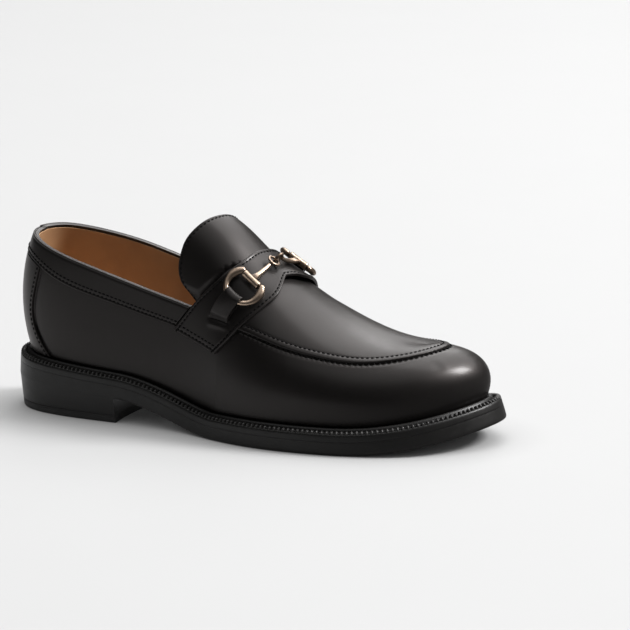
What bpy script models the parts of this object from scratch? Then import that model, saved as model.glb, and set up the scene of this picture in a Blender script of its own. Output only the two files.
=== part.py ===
"""Snaffle-bit loafer, right shoe: welted sole, hollow upper, saddle strap and a metal bit.

Lengths are millimetres until a mesh is made. x runs from the back of the heel to the toe, y from the
outer (lateral, negative) side to the inner (medial) side, and z up from the floor. The upper is one
function of two numbers: s goes round the feather line, where upper and sole meet, and t goes from
that line (0) over the side of the foot to the spine, the ridge line of the last (1).
"""
import math

import bmesh
import bpy
import numpy as np

MM = 0.001
GAP = 0.3

# Driving sizes
LENGTH = 300.0
HEEL_BREAST_X = 80.0
HEEL_BACK_HEIGHT = 19.6
HEEL_BREAST_HEIGHT = 14.3
FLAT_START_X = 149.0
FLAT_END_X = 222.0
TOE_SPRING = 12.6
OUTSOLE_THICK = 7.4
WELT_LEDGE = 12.2
FEATHER_LEVEL = WELT_LEDGE + GAP
INSOLE_TOP = 13.2
TOP_LIFT_THICK = 4.6
UPPER_WALL = 2.0
COLUMNS_PER_SIDE = 32

# One row per station round the shoe, from the back of the heel along the lateral side to the toe and
# back along the medial side. x, y: edge of the outsole. inset: from that edge in to the feather line.
# spine_x: where the rib over the foot that starts here meets the spine. bulge, bulge_h: how far the
# wall leans out, and at what part of its height. shoulder, shoulder_h: width and height, as parts of
# the whole, that the rib reaches where it turns over. crown: how flat the rib is at the spine.
STATION_COLUMNS = ("x", "y", "inset", "spine_x", "bulge", "bulge_h", "shoulder", "shoulder_h", "crown")
STATIONS = {
    "heel back": (0.0, 0.5, 8.6, 62.0, 12.0, 0.30, 1.12, 0.62, 0.70),
    "heel back lateral": (11.0, -23.7, 8.2, 72.0, 10.0, 0.30, 1.12, 0.62, 0.75),
    "heel lateral": (35.4, -34.8, 7.4, 92.0, 6.0, 0.30, 1.06, 0.62, 0.78),
    "heel breast lateral": (74.9, -38.0, 7.2, 128.0, 3.5, 0.32, 0.84, 0.60, 1.05),
    "waist lateral": (119.8, -41.4, 7.2, 162.0, 3.5, 0.35, 0.80, 0.58, 1.08),
    "ball rear lateral": (159.6, -52.4, 7.4, 184.0, 4.5, 0.38, 0.82, 0.60, 0.88),
    "ball lateral": (194.7, -56.2, 7.6, 204.0, 5.5, 0.42, 0.92, 0.68, 0.60),
    "toe rear lateral": (234.7, -51.2, 7.8, 228.0, 7.0, 0.45, 0.98, 0.76, 0.62),
    "toe lateral": (269.9, -36.7, 8.2, 245.0, 7.0, 0.45, 1.04, 0.80, 0.75),
    "toe corner lateral": (291.9, -13.8, 8.8, 253.0, 7.0, 0.45, 1.07, 0.80, 0.78),
    "toe tip": (300.0, 8.1, 9.2, 255.0, 7.0, 0.45, 1.07, 0.80, 0.78),
    "toe corner medial": (294.3, 27.2, 8.8, 253.0, 7.0, 0.45, 1.07, 0.80, 0.78),
    "toe medial": (275.1, 41.0, 8.2, 245.0, 7.0, 0.45, 1.04, 0.80, 0.75),
    "toe rear medial": (245.0, 48.5, 7.8, 229.0, 7.0, 0.45, 0.98, 0.76, 0.62),
    "ball medial": (215.0, 50.0, 7.6, 209.0, 5.5, 0.42, 0.96, 0.70, 0.70),
    "waist front medial": (175.0, 43.0, 7.4, 186.0, 4.5, 0.38, 0.88, 0.64, 0.98),
    "waist medial": (130.0, 31.0, 7.2, 163.0, 4.5, 0.35, 0.86, 0.60, 1.15),
    "heel breast medial": (80.0, 32.0, 7.2, 128.0, 4.5, 0.32, 0.88, 0.60, 1.10),
    "heel medial": (40.0, 34.5, 7.4, 92.0, 6.0, 0.30, 1.06, 0.62, 0.78),
    "heel back medial": (10.3, 24.7, 8.2, 72.0, 10.0, 0.30, 1.12, 0.62, 0.75),
}

# Spine of the last, seen from the side. It goes on behind the throat as the line of the tongue and
# the ankle, which gives the collar its lean although the collar is cut far below it.
SPINE_COLUMNS = ("x", "z")
SPINE = {
    "ankle back": (0.0, 140.0),
    "ankle": (70.0, 140.0),
    "leg front": (110.0, 130.0),
    "tongue top": (130.0, 121.0),
    "tongue": (145.0, 112.0),
    "throat": (160.0, 98.0),
    "instep": (191.0, 75.0),
    "vamp": (225.0, 59.3),
    "toe rear": (247.0, 54.2),
    "toe box": (268.0, 53.2),
    "toe front": (300.0, 52.0),
}
CENTRE_COLUMNS = ("x", "y")
CENTRE_LINE = {
    "heel": (0.0, 0.5),
    "heel front": (80.0, -0.5),
    "waist": (130.0, 0.0),
    "instep": (175.0, 0.5),
    "ball": (215.0, 1.2),
    "toe box": (255.0, 4.0),
    "toe": (300.0, 8.1),
}

# Collar, seen from the side: height of its top edge on each side, and of its band's lower edge.
COLLAR_COLUMNS = ("x", "z_lateral", "z_medial", "z_band")
COLLAR = {
    "back": (0.0, 104.0, 104.0, 91.5),
    "behind": (8.0, 102.9, 103.2, 90.8),
    "back side": (17.0, 101.0, 102.2, 89.0),
    "rear": (33.0, 96.2, 99.6, 81.5),
    "middle": (70.0, 86.0, 93.0, 70.0),
    "front": (94.0, 79.5, 87.0, 64.2),
    "strap": (128.0, 71.5, 78.0, 57.0),
    "under the strap": (150.0, 67.0, 73.0, 52.0),
}

# Throat, the edge of the upper that the strap covers: it climbs from the collar's end to the spine.
THROAT_STEPS = 10
THROAT_COLUMNS = ("spine_x", "t")
THROAT = {
    "collar end": (165.0, 0.42),
    "low": (168.0, 0.50),
    "middle": (170.5, 0.61),
    "high": (172.0, 0.74),
    "near the spine": (173.0, 0.88),
    "spine": (173.5, 1.0),
}

# Line where the wall meets the apron, seen from the side.
SEAM_COLUMNS = ("x", "z")
SEAM = {
    "under the strap": (130.0, 66.0),
    "rear": (163.0, 61.8),
    "instep": (191.0, 54.2),
    "ball": (211.0, 50.3),
    "front": (233.0, 48.1),
    "turn": (250.0, 49.2),
    "tip": (269.0, 52.4),
    "past the tip": (300.0, 58.0),
}


def column(table, names, wanted):
    """One named column of a table, as an array."""
    place = names.index(wanted)
    return np.array([row[place] for row in table.values()])


def spline_bends(knots, values, closed):
    """Second derivatives of the cubic spline through the values, natural at its ends unless closed."""
    count = len(knots)
    step = np.diff(knots)
    if closed:
        size = count - 1
        matrix = np.zeros((size, size))
        right = np.zeros((size,) + values.shape[1:])
        for i in range(size):
            before = step[i - 1]
            after = step[i]
            matrix[i, (i - 1) % size] += before
            matrix[i, i] += 2 * (before + after)
            matrix[i, (i + 1) % size] += after
            right[i] = 6 * ((values[i + 1] - values[i]) / after
                            - (values[i] - values[i - 1 if i else size - 1]) / before)
        bends = np.linalg.solve(matrix, right)
        return np.concatenate([bends, bends[:1]])
    matrix = np.eye(count)
    right = np.zeros_like(values)
    for i in range(1, count - 1):
        matrix[i, i - 1:i + 2] = step[i - 1], 2 * (step[i - 1] + step[i]), step[i]
        right[i] = 6 * ((values[i + 1] - values[i]) / step[i] - (values[i] - values[i - 1]) / step[i - 1])
    return np.linalg.solve(matrix, right)


def spline(knots, values, closed=False):
    """A function that gives the smooth curve through the values at any knot position."""
    knots = np.asarray(knots, float)
    values = np.asarray(values, float)
    flat = values.ndim == 1
    if flat:
        values = values[:, None]
    bends = spline_bends(knots, values, closed)

    def at(where):
        where = np.asarray(where, float)
        if closed:
            where = knots[0] + np.mod(where - knots[0], knots[-1] - knots[0])
        i = np.clip(np.searchsorted(knots, where, side="right") - 1, 0, len(knots) - 2)
        width = (knots[i + 1] - knots[i])[..., None]
        a = ((knots[i + 1] - where)[..., None]) / width
        b = 1 - a
        curve = a * values[i] + b * values[i + 1]
        curve = curve + ((a ** 3 - a) * bends[i] + (b ** 3 - b) * bends[i + 1]) * width ** 2 / 6
        return curve[..., 0] if flat else curve

    return at


def station_knots():
    """Positions of the stations along s, by the root of the distance, which spaces turns evenly."""
    points = np.array([row[:2] for row in STATIONS.values()])
    gaps = np.linalg.norm(np.diff(np.vstack([points, points[:1]]), axis=0), axis=1)
    return np.concatenate([[0.0], np.cumsum(np.sqrt(gaps))])


KNOTS = station_knots()
STATION_ROWS = np.array(list(STATIONS.values()))
stations_at = spline(KNOTS, np.vstack([STATION_ROWS, STATION_ROWS[:1]]), closed=True)
S_TOE = KNOTS[list(STATIONS).index("toe tip")]
S_END = KNOTS[-1]
spine_z = spline(column(SPINE, SPINE_COLUMNS, "x"), column(SPINE, SPINE_COLUMNS, "z"))
centre_y = spline(column(CENTRE_LINE, CENTRE_COLUMNS, "x"), column(CENTRE_LINE, CENTRE_COLUMNS, "y"))
seam_z = spline(column(SEAM, SEAM_COLUMNS, "x"), column(SEAM, SEAM_COLUMNS, "z"))
COLLAR_X = column(COLLAR, COLLAR_COLUMNS, "x")
collar_z_lateral = spline(COLLAR_X, column(COLLAR, COLLAR_COLUMNS, "z_lateral"))
collar_z_medial = spline(COLLAR_X, column(COLLAR, COLLAR_COLUMNS, "z_medial"))
band_z = spline(COLLAR_X, column(COLLAR, COLLAR_COLUMNS, "z_band"))
throat_x = spline(column(THROAT, THROAT_COLUMNS, "t"), column(THROAT, THROAT_COLUMNS, "spine_x"))
THROAT_T = np.linspace(*column(THROAT, THROAT_COLUMNS, "t")[[0, -1]], THROAT_STEPS + 1)
THROAT_X = throat_x(THROAT_T)


def sole_profile(x):
    """Height and slope of the outsole's underside: heel seat, waist, flat forefoot, toe spring."""
    x = np.asarray(x, float)
    seat_slope = (HEEL_BREAST_HEIGHT - HEEL_BACK_HEIGHT) / HEEL_BREAST_X
    run = FLAT_START_X - HEEL_BREAST_X
    w = np.clip((x - HEEL_BREAST_X) / run, 0, 1)
    waist = HEEL_BREAST_HEIGHT * (2 * w ** 3 - 3 * w ** 2 + 1) + seat_slope * run * (w ** 3 - 2 * w ** 2 + w)
    waist_slope = (HEEL_BREAST_HEIGHT * (6 * w ** 2 - 6 * w) / run
                   + seat_slope * (3 * w ** 2 - 4 * w + 1))
    q = np.clip((x - FLAT_END_X) / (LENGTH - FLAT_END_X), 0, None)
    spring = TOE_SPRING * q ** 2
    spring_slope = 2 * TOE_SPRING * q / (LENGTH - FLAT_END_X)
    heel = x < HEEL_BREAST_X
    height = np.where(heel, HEEL_BACK_HEIGHT + seat_slope * x, waist) + spring
    slope = np.where(heel, seat_slope, waist_slope) + spring_slope
    return height, slope


def on_sole(x, y, level):
    """A point at a level above the underside, measured square to it, as a bent sheet has it."""
    height, slope = sole_profile(x)
    tilt = np.arctan(slope)
    return np.stack([x - level * np.sin(tilt), y + 0 * x, height + level * np.cos(tilt)], axis=-1)


def edge_point(s, inward=0.0):
    """Plan position on the outsole's edge, or that far inside it."""
    step = 0.01
    here = stations_at(s)[..., :2]
    along = stations_at(s + step)[..., :2] - stations_at(s - step)[..., :2]
    along = along / np.linalg.norm(along, axis=-1, keepdims=True)
    inside = np.stack([-along[..., 1], along[..., 0]], axis=-1)
    return here + inside * np.asarray(inward)[..., None]


def feather_inset(s):
    return stations_at(s)[..., STATION_COLUMNS.index("inset")]


def spine_x_at(s):
    return stations_at(s)[..., STATION_COLUMNS.index("spine_x")]


def last_point(s, t):
    """Outer face of the upper: a rib from the feather line at s, up and over to the spine."""
    s, t = np.broadcast_arrays(np.asarray(s, float), np.asarray(t, float))
    row = stations_at(s)
    spine_x, bulge, bulge_h, shoulder, shoulder_h, crown = np.moveaxis(row[..., 3:], -1, 0)
    foot = edge_point(s, feather_inset(s))
    foot = on_sole(foot[..., 0], foot[..., 1], FEATHER_LEVEL)
    top = np.stack([spine_x, centre_y(spine_x)], axis=-1)
    out = foot[..., :2] - top
    reach = np.linalg.norm(out, axis=-1)
    out = out / reach[..., None]
    drop = spine_z(foot[..., 0]) - foot[..., 2]
    b = 1 - t
    mix = np.stack([b ** 4, 4 * b ** 3 * t, 6 * b ** 2 * t ** 2, 4 * b * t ** 3, t ** 4])
    far = mix[0] * reach + mix[1] * (reach + bulge) + mix[2] * reach * shoulder + mix[3] * reach * crown
    low = drop * (mix[0] + mix[1] * (1 - bulge_h) + mix[2] * (1 - shoulder_h))
    plan = top + out * far[..., None]
    return np.concatenate([plan, (spine_z(plan[..., 0]) - low)[..., None]], axis=-1)


def last_normal(s, t):
    """Outward direction of the upper's face."""
    s, t = np.broadcast_arrays(np.asarray(s, float), np.asarray(t, float))
    ds = 0.02
    dt = 0.004
    along = last_point(s + ds, t) - last_point(s - ds, t)
    up = last_point(s, np.minimum(t + dt, 1)) - last_point(s, np.maximum(t - dt, 0))
    normal = np.cross(along, up)
    spine_x = spine_x_at(s)
    slope = (spine_z(spine_x + 0.5) - spine_z(spine_x - 0.5))
    ridge = np.stack([-slope, np.zeros_like(slope), np.ones_like(slope)], axis=-1)
    normal = np.where((t > 0.998)[..., None], ridge, normal)
    return normal / np.linalg.norm(normal, axis=-1, keepdims=True)


def first_crossing(s, height_at):
    """The t at which each rib first rises through a line given by its height over x, or 1."""
    fine = np.linspace(0.02, 1, 260)
    found = np.ones(len(s))
    for i, one in enumerate(s):
        rib = last_point(np.full(fine.shape, one), fine)
        over = rib[:, 2] - height_at(rib[:, 0])
        passed = np.nonzero((over[:-1] < 0) & (over[1:] >= 0))[0]
        if len(passed):
            k = passed[0]
            found[i] = fine[k] + (fine[k + 1] - fine[k]) * over[k] / (over[k] - over[k + 1])
    return found


FINE_S = np.linspace(0, S_END, 1600)
FINE_LATERAL = FINE_S[FINE_S <= S_TOE]
FINE_MEDIAL = FINE_S[FINE_S >= S_TOE]


def rib_at(spine_x, side):
    """The s of the rib that meets the spine at spine_x, on the lateral (-1) or medial (1) side."""
    if side < 0:
        return np.interp(spine_x, spine_x_at(FINE_LATERAL), FINE_LATERAL)
    return np.interp(-np.asarray(spine_x), -spine_x_at(FINE_MEDIAL), FINE_MEDIAL)


def ring_columns(pair_by):
    """Positions round the shoe whose lateral and medial halves pair up by a value that they share."""
    lateral = np.linspace(0, S_TOE, COLUMNS_PER_SIDE + 1)
    shared = pair_by(lateral)
    order = FINE_MEDIAL[::-1]
    medial = np.interp(shared[1:-1], pair_by(order), order)
    return np.concatenate([lateral, medial[::-1]])


def make_object(name, vertices, faces, material, flip=False):
    """A mesh object from points in millimetres and faces by index, with doubled points merged."""
    mesh = bpy.data.meshes.new(name)
    body = bmesh.new()
    made = [body.verts.new(MM * (np.asarray(p) - ORIGIN)) for p in vertices]
    for face in faces:
        corners = [made[i] for i in face]
        body.faces.new(corners[::-1] if flip else corners)
    bmesh.ops.remove_doubles(body, verts=body.verts, dist=0.00001)
    bmesh.ops.dissolve_degenerate(body, edges=body.edges, dist=0.000001)
    bmesh.ops.recalc_face_normals(body, faces=body.faces)
    bmesh.ops.triangulate(body, faces=[f for f in body.faces if len(f.verts) > 4])
    body.to_mesh(mesh)
    body.free()
    mesh.materials.append(material)
    mesh.shade_smooth()
    mesh.set_sharp_from_angle(angle=math.radians(35))
    thing = bpy.data.objects.new(name, mesh)
    bpy.context.collection.objects.link(thing)
    return thing


def grid_faces(rows, columns, start=0, wrap=False):
    """Quads of a grid of points that are numbered row by row."""
    faces = []
    for r in range(rows - 1):
        for c in range(columns if wrap else columns - 1):
            d = (c + 1) % columns
            a = start + r * columns
            faces.append((a + c, a + d, a + columns + d, a + columns + c))
    return faces


def thick_sheet(name, outer, inner, material):
    """A closed solid between two grids of points of the same size."""
    rows, columns = outer.shape[:2]
    count = rows * columns
    points = np.concatenate([outer.reshape(-1, 3), inner.reshape(-1, 3)])
    faces = grid_faces(rows, columns)
    faces += [face[::-1] for face in grid_faces(rows, columns, start=count)]
    rim = [c for c in range(columns)]
    rim += [r * columns + columns - 1 for r in range(1, rows)]
    rim += [(rows - 1) * columns + c for c in range(columns - 2, -1, -1)]
    rim += [r * columns for r in range(rows - 2, 0, -1)]
    for a, b in zip(rim, rim[1:] + rim[:1]):
        faces.append((b, a, a + count, b + count))
    return make_object(name, points, faces, material)


def ring_solid(name, loops, material):
    """A closed ring from loops of points that go round one after another."""
    rows, columns = len(loops), len(loops[0])
    faces = grid_faces(rows, columns, wrap=True)
    last = (rows - 1) * columns
    faces += [(last + c, last + (c + 1) % columns, (c + 1) % columns, c) for c in range(columns)]
    return make_object(name, np.concatenate(loops), faces, material)


def ladder_cap(start, half):
    """Faces across a loop whose two halves pair up, from its first point to its middle one."""
    total = 2 * half
    faces = [(start, start + 1, start + total - 1)]
    for k in range(1, half - 1):
        faces.append((start + k, start + k + 1, start + total - k - 1, start + total - k))
    faces.append((start + half - 1, start + half, start + half + 1))
    return faces


def slab_solid(name, loops, material):
    """A closed slab from loops stacked from its underside to its top, both capped across."""
    rows, columns = len(loops), len(loops[0])
    faces = grid_faces(rows, columns, wrap=True)
    faces += [face[::-1] for face in ladder_cap(0, columns // 2)]
    faces += ladder_cap((rows - 1) * columns, columns // 2)
    return make_object(name, np.concatenate(loops), faces, material)


def finish(name, colour, roughness, metallic=0.0):
    """A plain material with the piece's colour and gloss."""
    material = bpy.data.materials.new(name)
    material.use_nodes = True
    shader = material.node_tree.nodes["Principled BSDF"]
    shader.inputs["Base Color"].default_value = (*colour, 1)
    shader.inputs["Roughness"].default_value = roughness
    shader.inputs["Metallic"].default_value = metallic
    return material


# Edge of the outsole, from its underside up: distance inside the widest line, and level.
OUTSOLE_EDGE = ((1.4, 0.0), (0.4, 0.7), (0.0, 2.0), (0.0, 6.9), (0.5, OUTSOLE_THICK))


def make_outsole(material):
    s = ring_columns(lambda at: edge_point(at)[:, 0])
    loops = []
    for inside, level in OUTSOLE_EDGE:
        plan = edge_point(s, np.full(s.shape, inside))
        loops.append(on_sole(plan[:, 0], plan[:, 1], level))
    return slab_solid("outsole", loops, material)


# Section of the welt. from_edge: measured in from the outsole's edge, otherwise out from the feather
# line. The ledge carries the upper, the bead stands beside it, and the outer band takes the stitches.
WELT_SECTION = (
    # from_edge, distance, level
    (False, -2.0, OUTSOLE_THICK + GAP),
    (True, 0.9, OUTSOLE_THICK + GAP),
    (True, 0.3, OUTSOLE_THICK + 0.9),
    (True, 0.3, 12.2),
    (True, 1.0, 12.9),
    (False, 4.4, 13.1),
    (False, 3.9, 14.1),
    (False, 2.9, 14.6),
    (False, 1.9, 14.1),
    (False, 1.5, WELT_LEDGE),
    (False, -2.0, WELT_LEDGE),
)


def make_welt(material):
    s = ring_columns(spine_x_at)
    loops = []
    for from_edge, distance, level in WELT_SECTION:
        inside = distance if from_edge else feather_inset(s) - distance
        plan = edge_point(s, inside + 0 * s)
        loops.append(on_sole(plan[:, 0], plan[:, 1], level))
    return ring_solid("welt", loops, material)


def make_insole(material):
    s = ring_columns(lambda at: edge_point(at)[:, 0])
    loops = []
    for level in (OUTSOLE_THICK + GAP, INSOLE_TOP):
        plan = edge_point(s, feather_inset(s) + 2.0 + 1.4 * GAP)
        loops.append(on_sole(plan[:, 0], plan[:, 1], level))
    return slab_solid("insole", loops, material)


# Heel: distance inside the outsole's edge at its top and at the floor, and the hollow of its front.
HEEL_TOP_INSET = 0.5
HEEL_FOOT_INSET = 1.6
HEEL_FRONT_HOLLOW = 3.0
HEEL_FRONT_STEPS = 8


def heel_loop(inside, level=None):
    """Loop of the heel at one level, or just under the outsole, with its front hollowed to an arc."""
    side = np.linspace(0, S_TOE, 400)
    plan = edge_point(side, np.full(side.shape, inside))
    front_lateral = np.interp(HEEL_BREAST_X, plan[:, 0], side)
    side = np.linspace(S_TOE, S_END, 400)
    plan = edge_point(side, np.full(side.shape, inside))
    front_medial = np.interp(-HEEL_BREAST_X, -plan[:, 0], side)
    around = np.concatenate([np.linspace(front_medial, S_END, 18), np.linspace(0, front_lateral, 18)[1:]])
    plan = edge_point(around, np.full(around.shape, inside))
    across = np.linspace(1, -1, HEEL_FRONT_STEPS + 1)[1:-1][::-1]
    middle = (plan[0] + plan[-1]) / 2
    half = (plan[0] - plan[-1]) / 2
    hollow = np.column_stack([HEEL_FRONT_HOLLOW * (1 - across ** 2), 0 * across])
    front = middle + half * across[:, None] - hollow
    loop = np.concatenate([plan, front])
    seat = sole_profile(np.minimum(loop[:, 0], HEEL_BREAST_X))[0] - GAP
    return np.column_stack([loop, seat if level is None else np.full(seat.shape, level)])


def flat_capped(name, loops, material):
    """A closed solid from loops stacked upwards, with a flat face on its first and last."""
    rows, columns = len(loops), len(loops[0])
    faces = grid_faces(rows, columns, wrap=True)
    faces.append(tuple(range(columns))[::-1])
    faces.append(tuple((rows - 1) * columns + c for c in range(columns)))
    return make_object(name, np.concatenate(loops), faces, material)


def make_heel(stack_material, lift_material):
    share = TOP_LIFT_THICK / HEEL_BACK_HEIGHT
    lift_inset = HEEL_FOOT_INSET + (HEEL_TOP_INSET - HEEL_FOOT_INSET) * share
    stack = [heel_loop(lift_inset, TOP_LIFT_THICK), heel_loop(HEEL_TOP_INSET)]
    lift = [heel_loop(HEEL_FOOT_INSET + 0.6, 0.0), heel_loop(HEEL_FOOT_INSET, 0.6),
            heel_loop(lift_inset, TOP_LIFT_THICK - GAP)]
    flat_capped("heel_stack", stack, stack_material)
    flat_capped("heel_top_lift", lift, lift_material)


# Raised edge of the apron beside its seam: distance from the seam along the rib, and height.
SEAM_RELIEF = ((-3.0, 0.0), (-0.9, -0.5), (-0.2, -0.6), (0.5, 1.0), (1.6, 1.3), (3.2, 1.1), (4.6, 0.1))
SEAM_FADE_X = (187.0, 192.0)
WALL_ROWS = 4
CROWN_ROWS = 6
REAR_COLUMNS = 13
FRONT_COLUMNS = 16


def top_edge_t(s):
    """The t at which each rib ends: at the collar, at the throat, or on the spine in front of it."""
    ends = []
    for side, collar in ((-1, collar_z_lateral), (1, collar_z_medial)):
        start = first_crossing(np.array([rib_at(THROAT_X[0], side)]), collar)[0]
        climb = np.interp(spine_x_at(s), THROAT_X, THROAT_T)
        climb = 1 - (1 - climb) * (1 - start) / (1 - THROAT_T[0])
        ends.append(np.where(spine_x_at(s) <= THROAT_X[0], first_crossing(s, collar), climb))
    return np.where(s <= S_TOE, ends[0], ends[1])


def upper_columns():
    """Ribs of the upper, close together at the throat, paired so that both sides meet on the spine."""
    rear = np.linspace(0, rib_at(THROAT_X[0], -1), REAR_COLUMNS)
    front = np.linspace(rib_at(THROAT_X[-1], -1), S_TOE, FRONT_COLUMNS)
    lateral = np.concatenate([rear, rib_at(THROAT_X[1:-1], -1), front])
    medial = rib_at(spine_x_at(lateral[1:-1]), 1)
    return np.concatenate([lateral, medial[::-1]])


def make_upper(material):
    """The hollow upper: an outer face with the apron's raised edge, and an inner face a wall away."""
    s = upper_columns()
    top = top_edge_t(s)
    seam = np.minimum(first_crossing(s, seam_z), top - 0.12)
    size = np.linalg.norm(last_point(s, seam + 0.005) - last_point(s, seam - 0.005), axis=-1) / 0.01
    fade_start, fade_end = SEAM_FADE_X
    ridge = np.clip((spine_x_at(s) - fade_start) / (fade_end - fade_start), 0, 1)
    low_end = seam + SEAM_RELIEF[0][0] / size
    high_start = seam + SEAM_RELIEF[-1][0] / size
    rows = [(low_end * share, 0.0) for share in np.linspace(0, 1, WALL_ROWS)[:-1]]
    rows += [(seam + distance / size, height * ridge) for distance, height in SEAM_RELIEF]
    shares = np.linspace(0, 1, CROWN_ROWS + 1)[1:]
    rows += [(high_start + (top - high_start) * share, 0.0) for share in shares]
    outer = []
    inner = []
    for t, height in rows:
        point = last_point(s, t)
        normal = last_normal(s, t)
        outer.append(point + normal * np.reshape(height + 0 * s, (-1, 1)))
        inner.append(point - normal * UPPER_WALL)
    columns = len(s)
    count = len(rows) * columns
    faces = grid_faces(len(rows), columns, wrap=True)
    faces += [face[::-1] for face in grid_faces(len(rows), columns, start=count, wrap=True)]
    last = (len(rows) - 1) * columns
    for c in range(columns):
        d = (c + 1) % columns
        faces.append((d, c, c + count, d + count))
        if top[c] < 1 or top[d] < 1:
            faces.append((last + c, last + d, last + d + count, last + c + count))
    return make_object("upper", np.concatenate(outer + inner), faces, material)


def raised(s, t, height):
    """A point of the upper's face, moved out by a height."""
    s, t = np.broadcast_arrays(s, t)
    return last_point(s, t) + last_normal(s, t) * (height + 0 * t)[..., None]


# Overlays that cross the instep. across: 0 on the lateral feather line, 1 on the spine and 2 on the
# medial feather line. rear, front: the x of the piece's edges there. lift: how far its front edge stands
# off the apron.
STRAP_COLUMNS = ("across", "rear", "front", "lift")
STRAP = {
    "end": (0.282, 118.3, 148.5, 0.0),
    "above the end": (0.393, 127.4, 157.1, 0.0),
    "slit": (0.47, 133.6, 161.7, 0.0),
    "keeper": (0.573, 142.0, 167.8, 0.0),
    "ring": (0.70, 149.6, 174.0, 0.3),
    "bar": (0.84, 155.4, 177.3, 1.0),
    "notch": (0.945, 157.6, 174.4, 2.2),
    "spine": (1.00, 158.8, 176.9, 2.5),
    "past the spine": (1.045, 159.2, 179.3, 2.4),
    "medial bar": (1.16, 158.4, 179.8, 1.4),
    "medial ring": (1.30, 154.1, 177.8, 0.3),
    "medial keeper": (1.427, 147.4, 173.8, 0.0),
    "medial slit": (1.53, 139.2, 168.7, 0.0),
    "above the medial end": (1.607, 133.0, 164.4, 0.0),
    "medial end": (1.718, 123.9, 155.4, 0.0),
}
STRAP_THICK = 1.8
STRAP_LIFT_BEND = 2.2
STRAP_ROWS = 6
STRAP_STEPS = 13
TONGUE_COLUMNS = ("across", "rear", "front")
TONGUE = {
    "low edge": (0.448, 129.6, 177.0),
    "side": (0.49, 122.5, 178.0),
    "widest": (0.552, 118.7, 180.0),
    "upper side": (0.62, 119.2, 182.0),
    "shoulder": (0.70, 121.2, 184.0),
    "corner": (0.78, 124.8, 186.5),
    "top": (0.88, 129.4, 189.5),
    "spine": (1.00, 134.0, 192.0),
    "medial top": (1.09, 135.2, 191.0),
    "medial corner": (1.20, 131.8, 187.5),
    "medial shoulder": (1.30, 127.5, 184.5),
    "medial widest": (1.448, 124.5, 180.5),
    "medial side": (1.51, 128.0, 179.0),
    "medial low edge": (1.552, 135.1, 178.0),
}
TONGUE_THICK = 2.2
TONGUE_ROWS = 8
TONGUE_STEPS = 10
TONGUE_RISE_START = 4.5
TONGUE_RISE_RUN = 8.0
TONGUE_RISE_T = 0.06
RIB_SAMPLES = np.linspace(110, 215, 421)


def height_on_rib(across):
    """The t of a place across the instep, on whichever side it lies."""
    return 1 - np.abs(1 - across)


def rib_through(x, place):
    """The s of the rib whose point at one place across the instep lies at x."""
    ribs = rib_at(RIB_SAMPLES, -1 if place <= 1 else 1)
    return np.interp(x, last_point(ribs, height_on_rib(place))[:, 0], ribs)


def across_curve(table, names, wanted, corner=None):
    """A column of a crossing piece as a curve over its whole width, with a corner at the named row."""
    across = column(table, names, "across")
    values = column(table, names, wanted)
    if corner is None:
        return spline(across, values)
    k = list(table).index(corner)
    turn = across[k]
    near = spline(across[:k + 1], values[:k + 1])
    far = spline(across[k:], values[k:])

    def at(where):
        return np.where(where < turn, near(np.minimum(where, turn)), far(np.maximum(where, turn)))

    return at


def crossing_grid(table, names, rows, steps, corner=None):
    """Ribs and places of a piece that runs from its lateral end over the spine to its medial end."""
    start = column(table, names, "across")[0]
    across = np.linspace(start, 2 - start, 2 * steps + 1)
    if corner is not None:
        across = np.sort(np.append(across, table[corner][0]))
    rear = across_curve(table, names, "rear")(across)
    front = across_curve(table, names, "front", corner)(across)
    share = np.linspace(0, 1, rows)[:, None]
    x = rear + (front - rear) * share
    s = np.stack([rib_through(x[:, k], place) for k, place in enumerate(across)], axis=1)
    return s, np.broadcast_to(across, s.shape), np.broadcast_to(share, s.shape)


def make_strap(material):
    """Saddle strap over the instep, standing off the apron along its notched front edge."""
    s, across, share = crossing_grid(STRAP, STRAP_COLUMNS, STRAP_ROWS, STRAP_STEPS, "notch")
    t = height_on_rib(across)
    lift = across_curve(STRAP, STRAP_COLUMNS, "lift")(across)
    under = GAP + np.maximum(lift, 0) * share ** STRAP_LIFT_BEND
    return thick_sheet("saddle_strap", raised(s, t, under + STRAP_THICK), raised(s, t, under), material)


def smooth_step(share):
    share = np.clip(share, 0, 1)
    return share * share * (3 - 2 * share)


def make_tongue(material):
    """Tongue: under the wall in front of the throat, and level with the wall's face behind it."""
    s, across, _ = crossing_grid(TONGUE, TONGUE_COLUMNS, TONGUE_ROWS, TONGUE_STEPS)
    t = height_on_rib(across)
    edge = top_edge_t(s.ravel()).reshape(s.shape)
    behind = throat_x(np.maximum(t, THROAT_T[0])) - TONGUE_RISE_START - spine_x_at(s)
    free = smooth_step(behind / TONGUE_RISE_RUN) * smooth_step((t - edge - 0.03) / TONGUE_RISE_T)
    low = -UPPER_WALL - 2.4 * GAP
    top = low + (-GAP - low) * free
    return thick_sheet("tongue", raised(s, t, top), raised(s, t, top - TONGUE_THICK), material)


# Overlays of the back: their height off the wall, and the edge of the backstay by its rib.
BAND_THICK = 1.0
BAND_STEPS = 40
BAND_ROWS = 4
STAY_COLUMNS = ("t", "spine_x")
STAY = {
    "feather": (0.02, 87.5),
    "low": (0.10, 81.5),
    "waist": (0.20, 79.2),
    "high": (0.30, 81.3),
    "band": (0.45, 83.5),
}
STAY_STEPS = 16
STAY_ROWS = 8


def collar_band_ends(t, side):
    """The rib at which the collar band stops, just behind the strap."""
    place = 1 + side * (1 - t)
    return rib_through(across_curve(STRAP, STRAP_COLUMNS, "rear")(place) - 2 * GAP, place)


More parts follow.
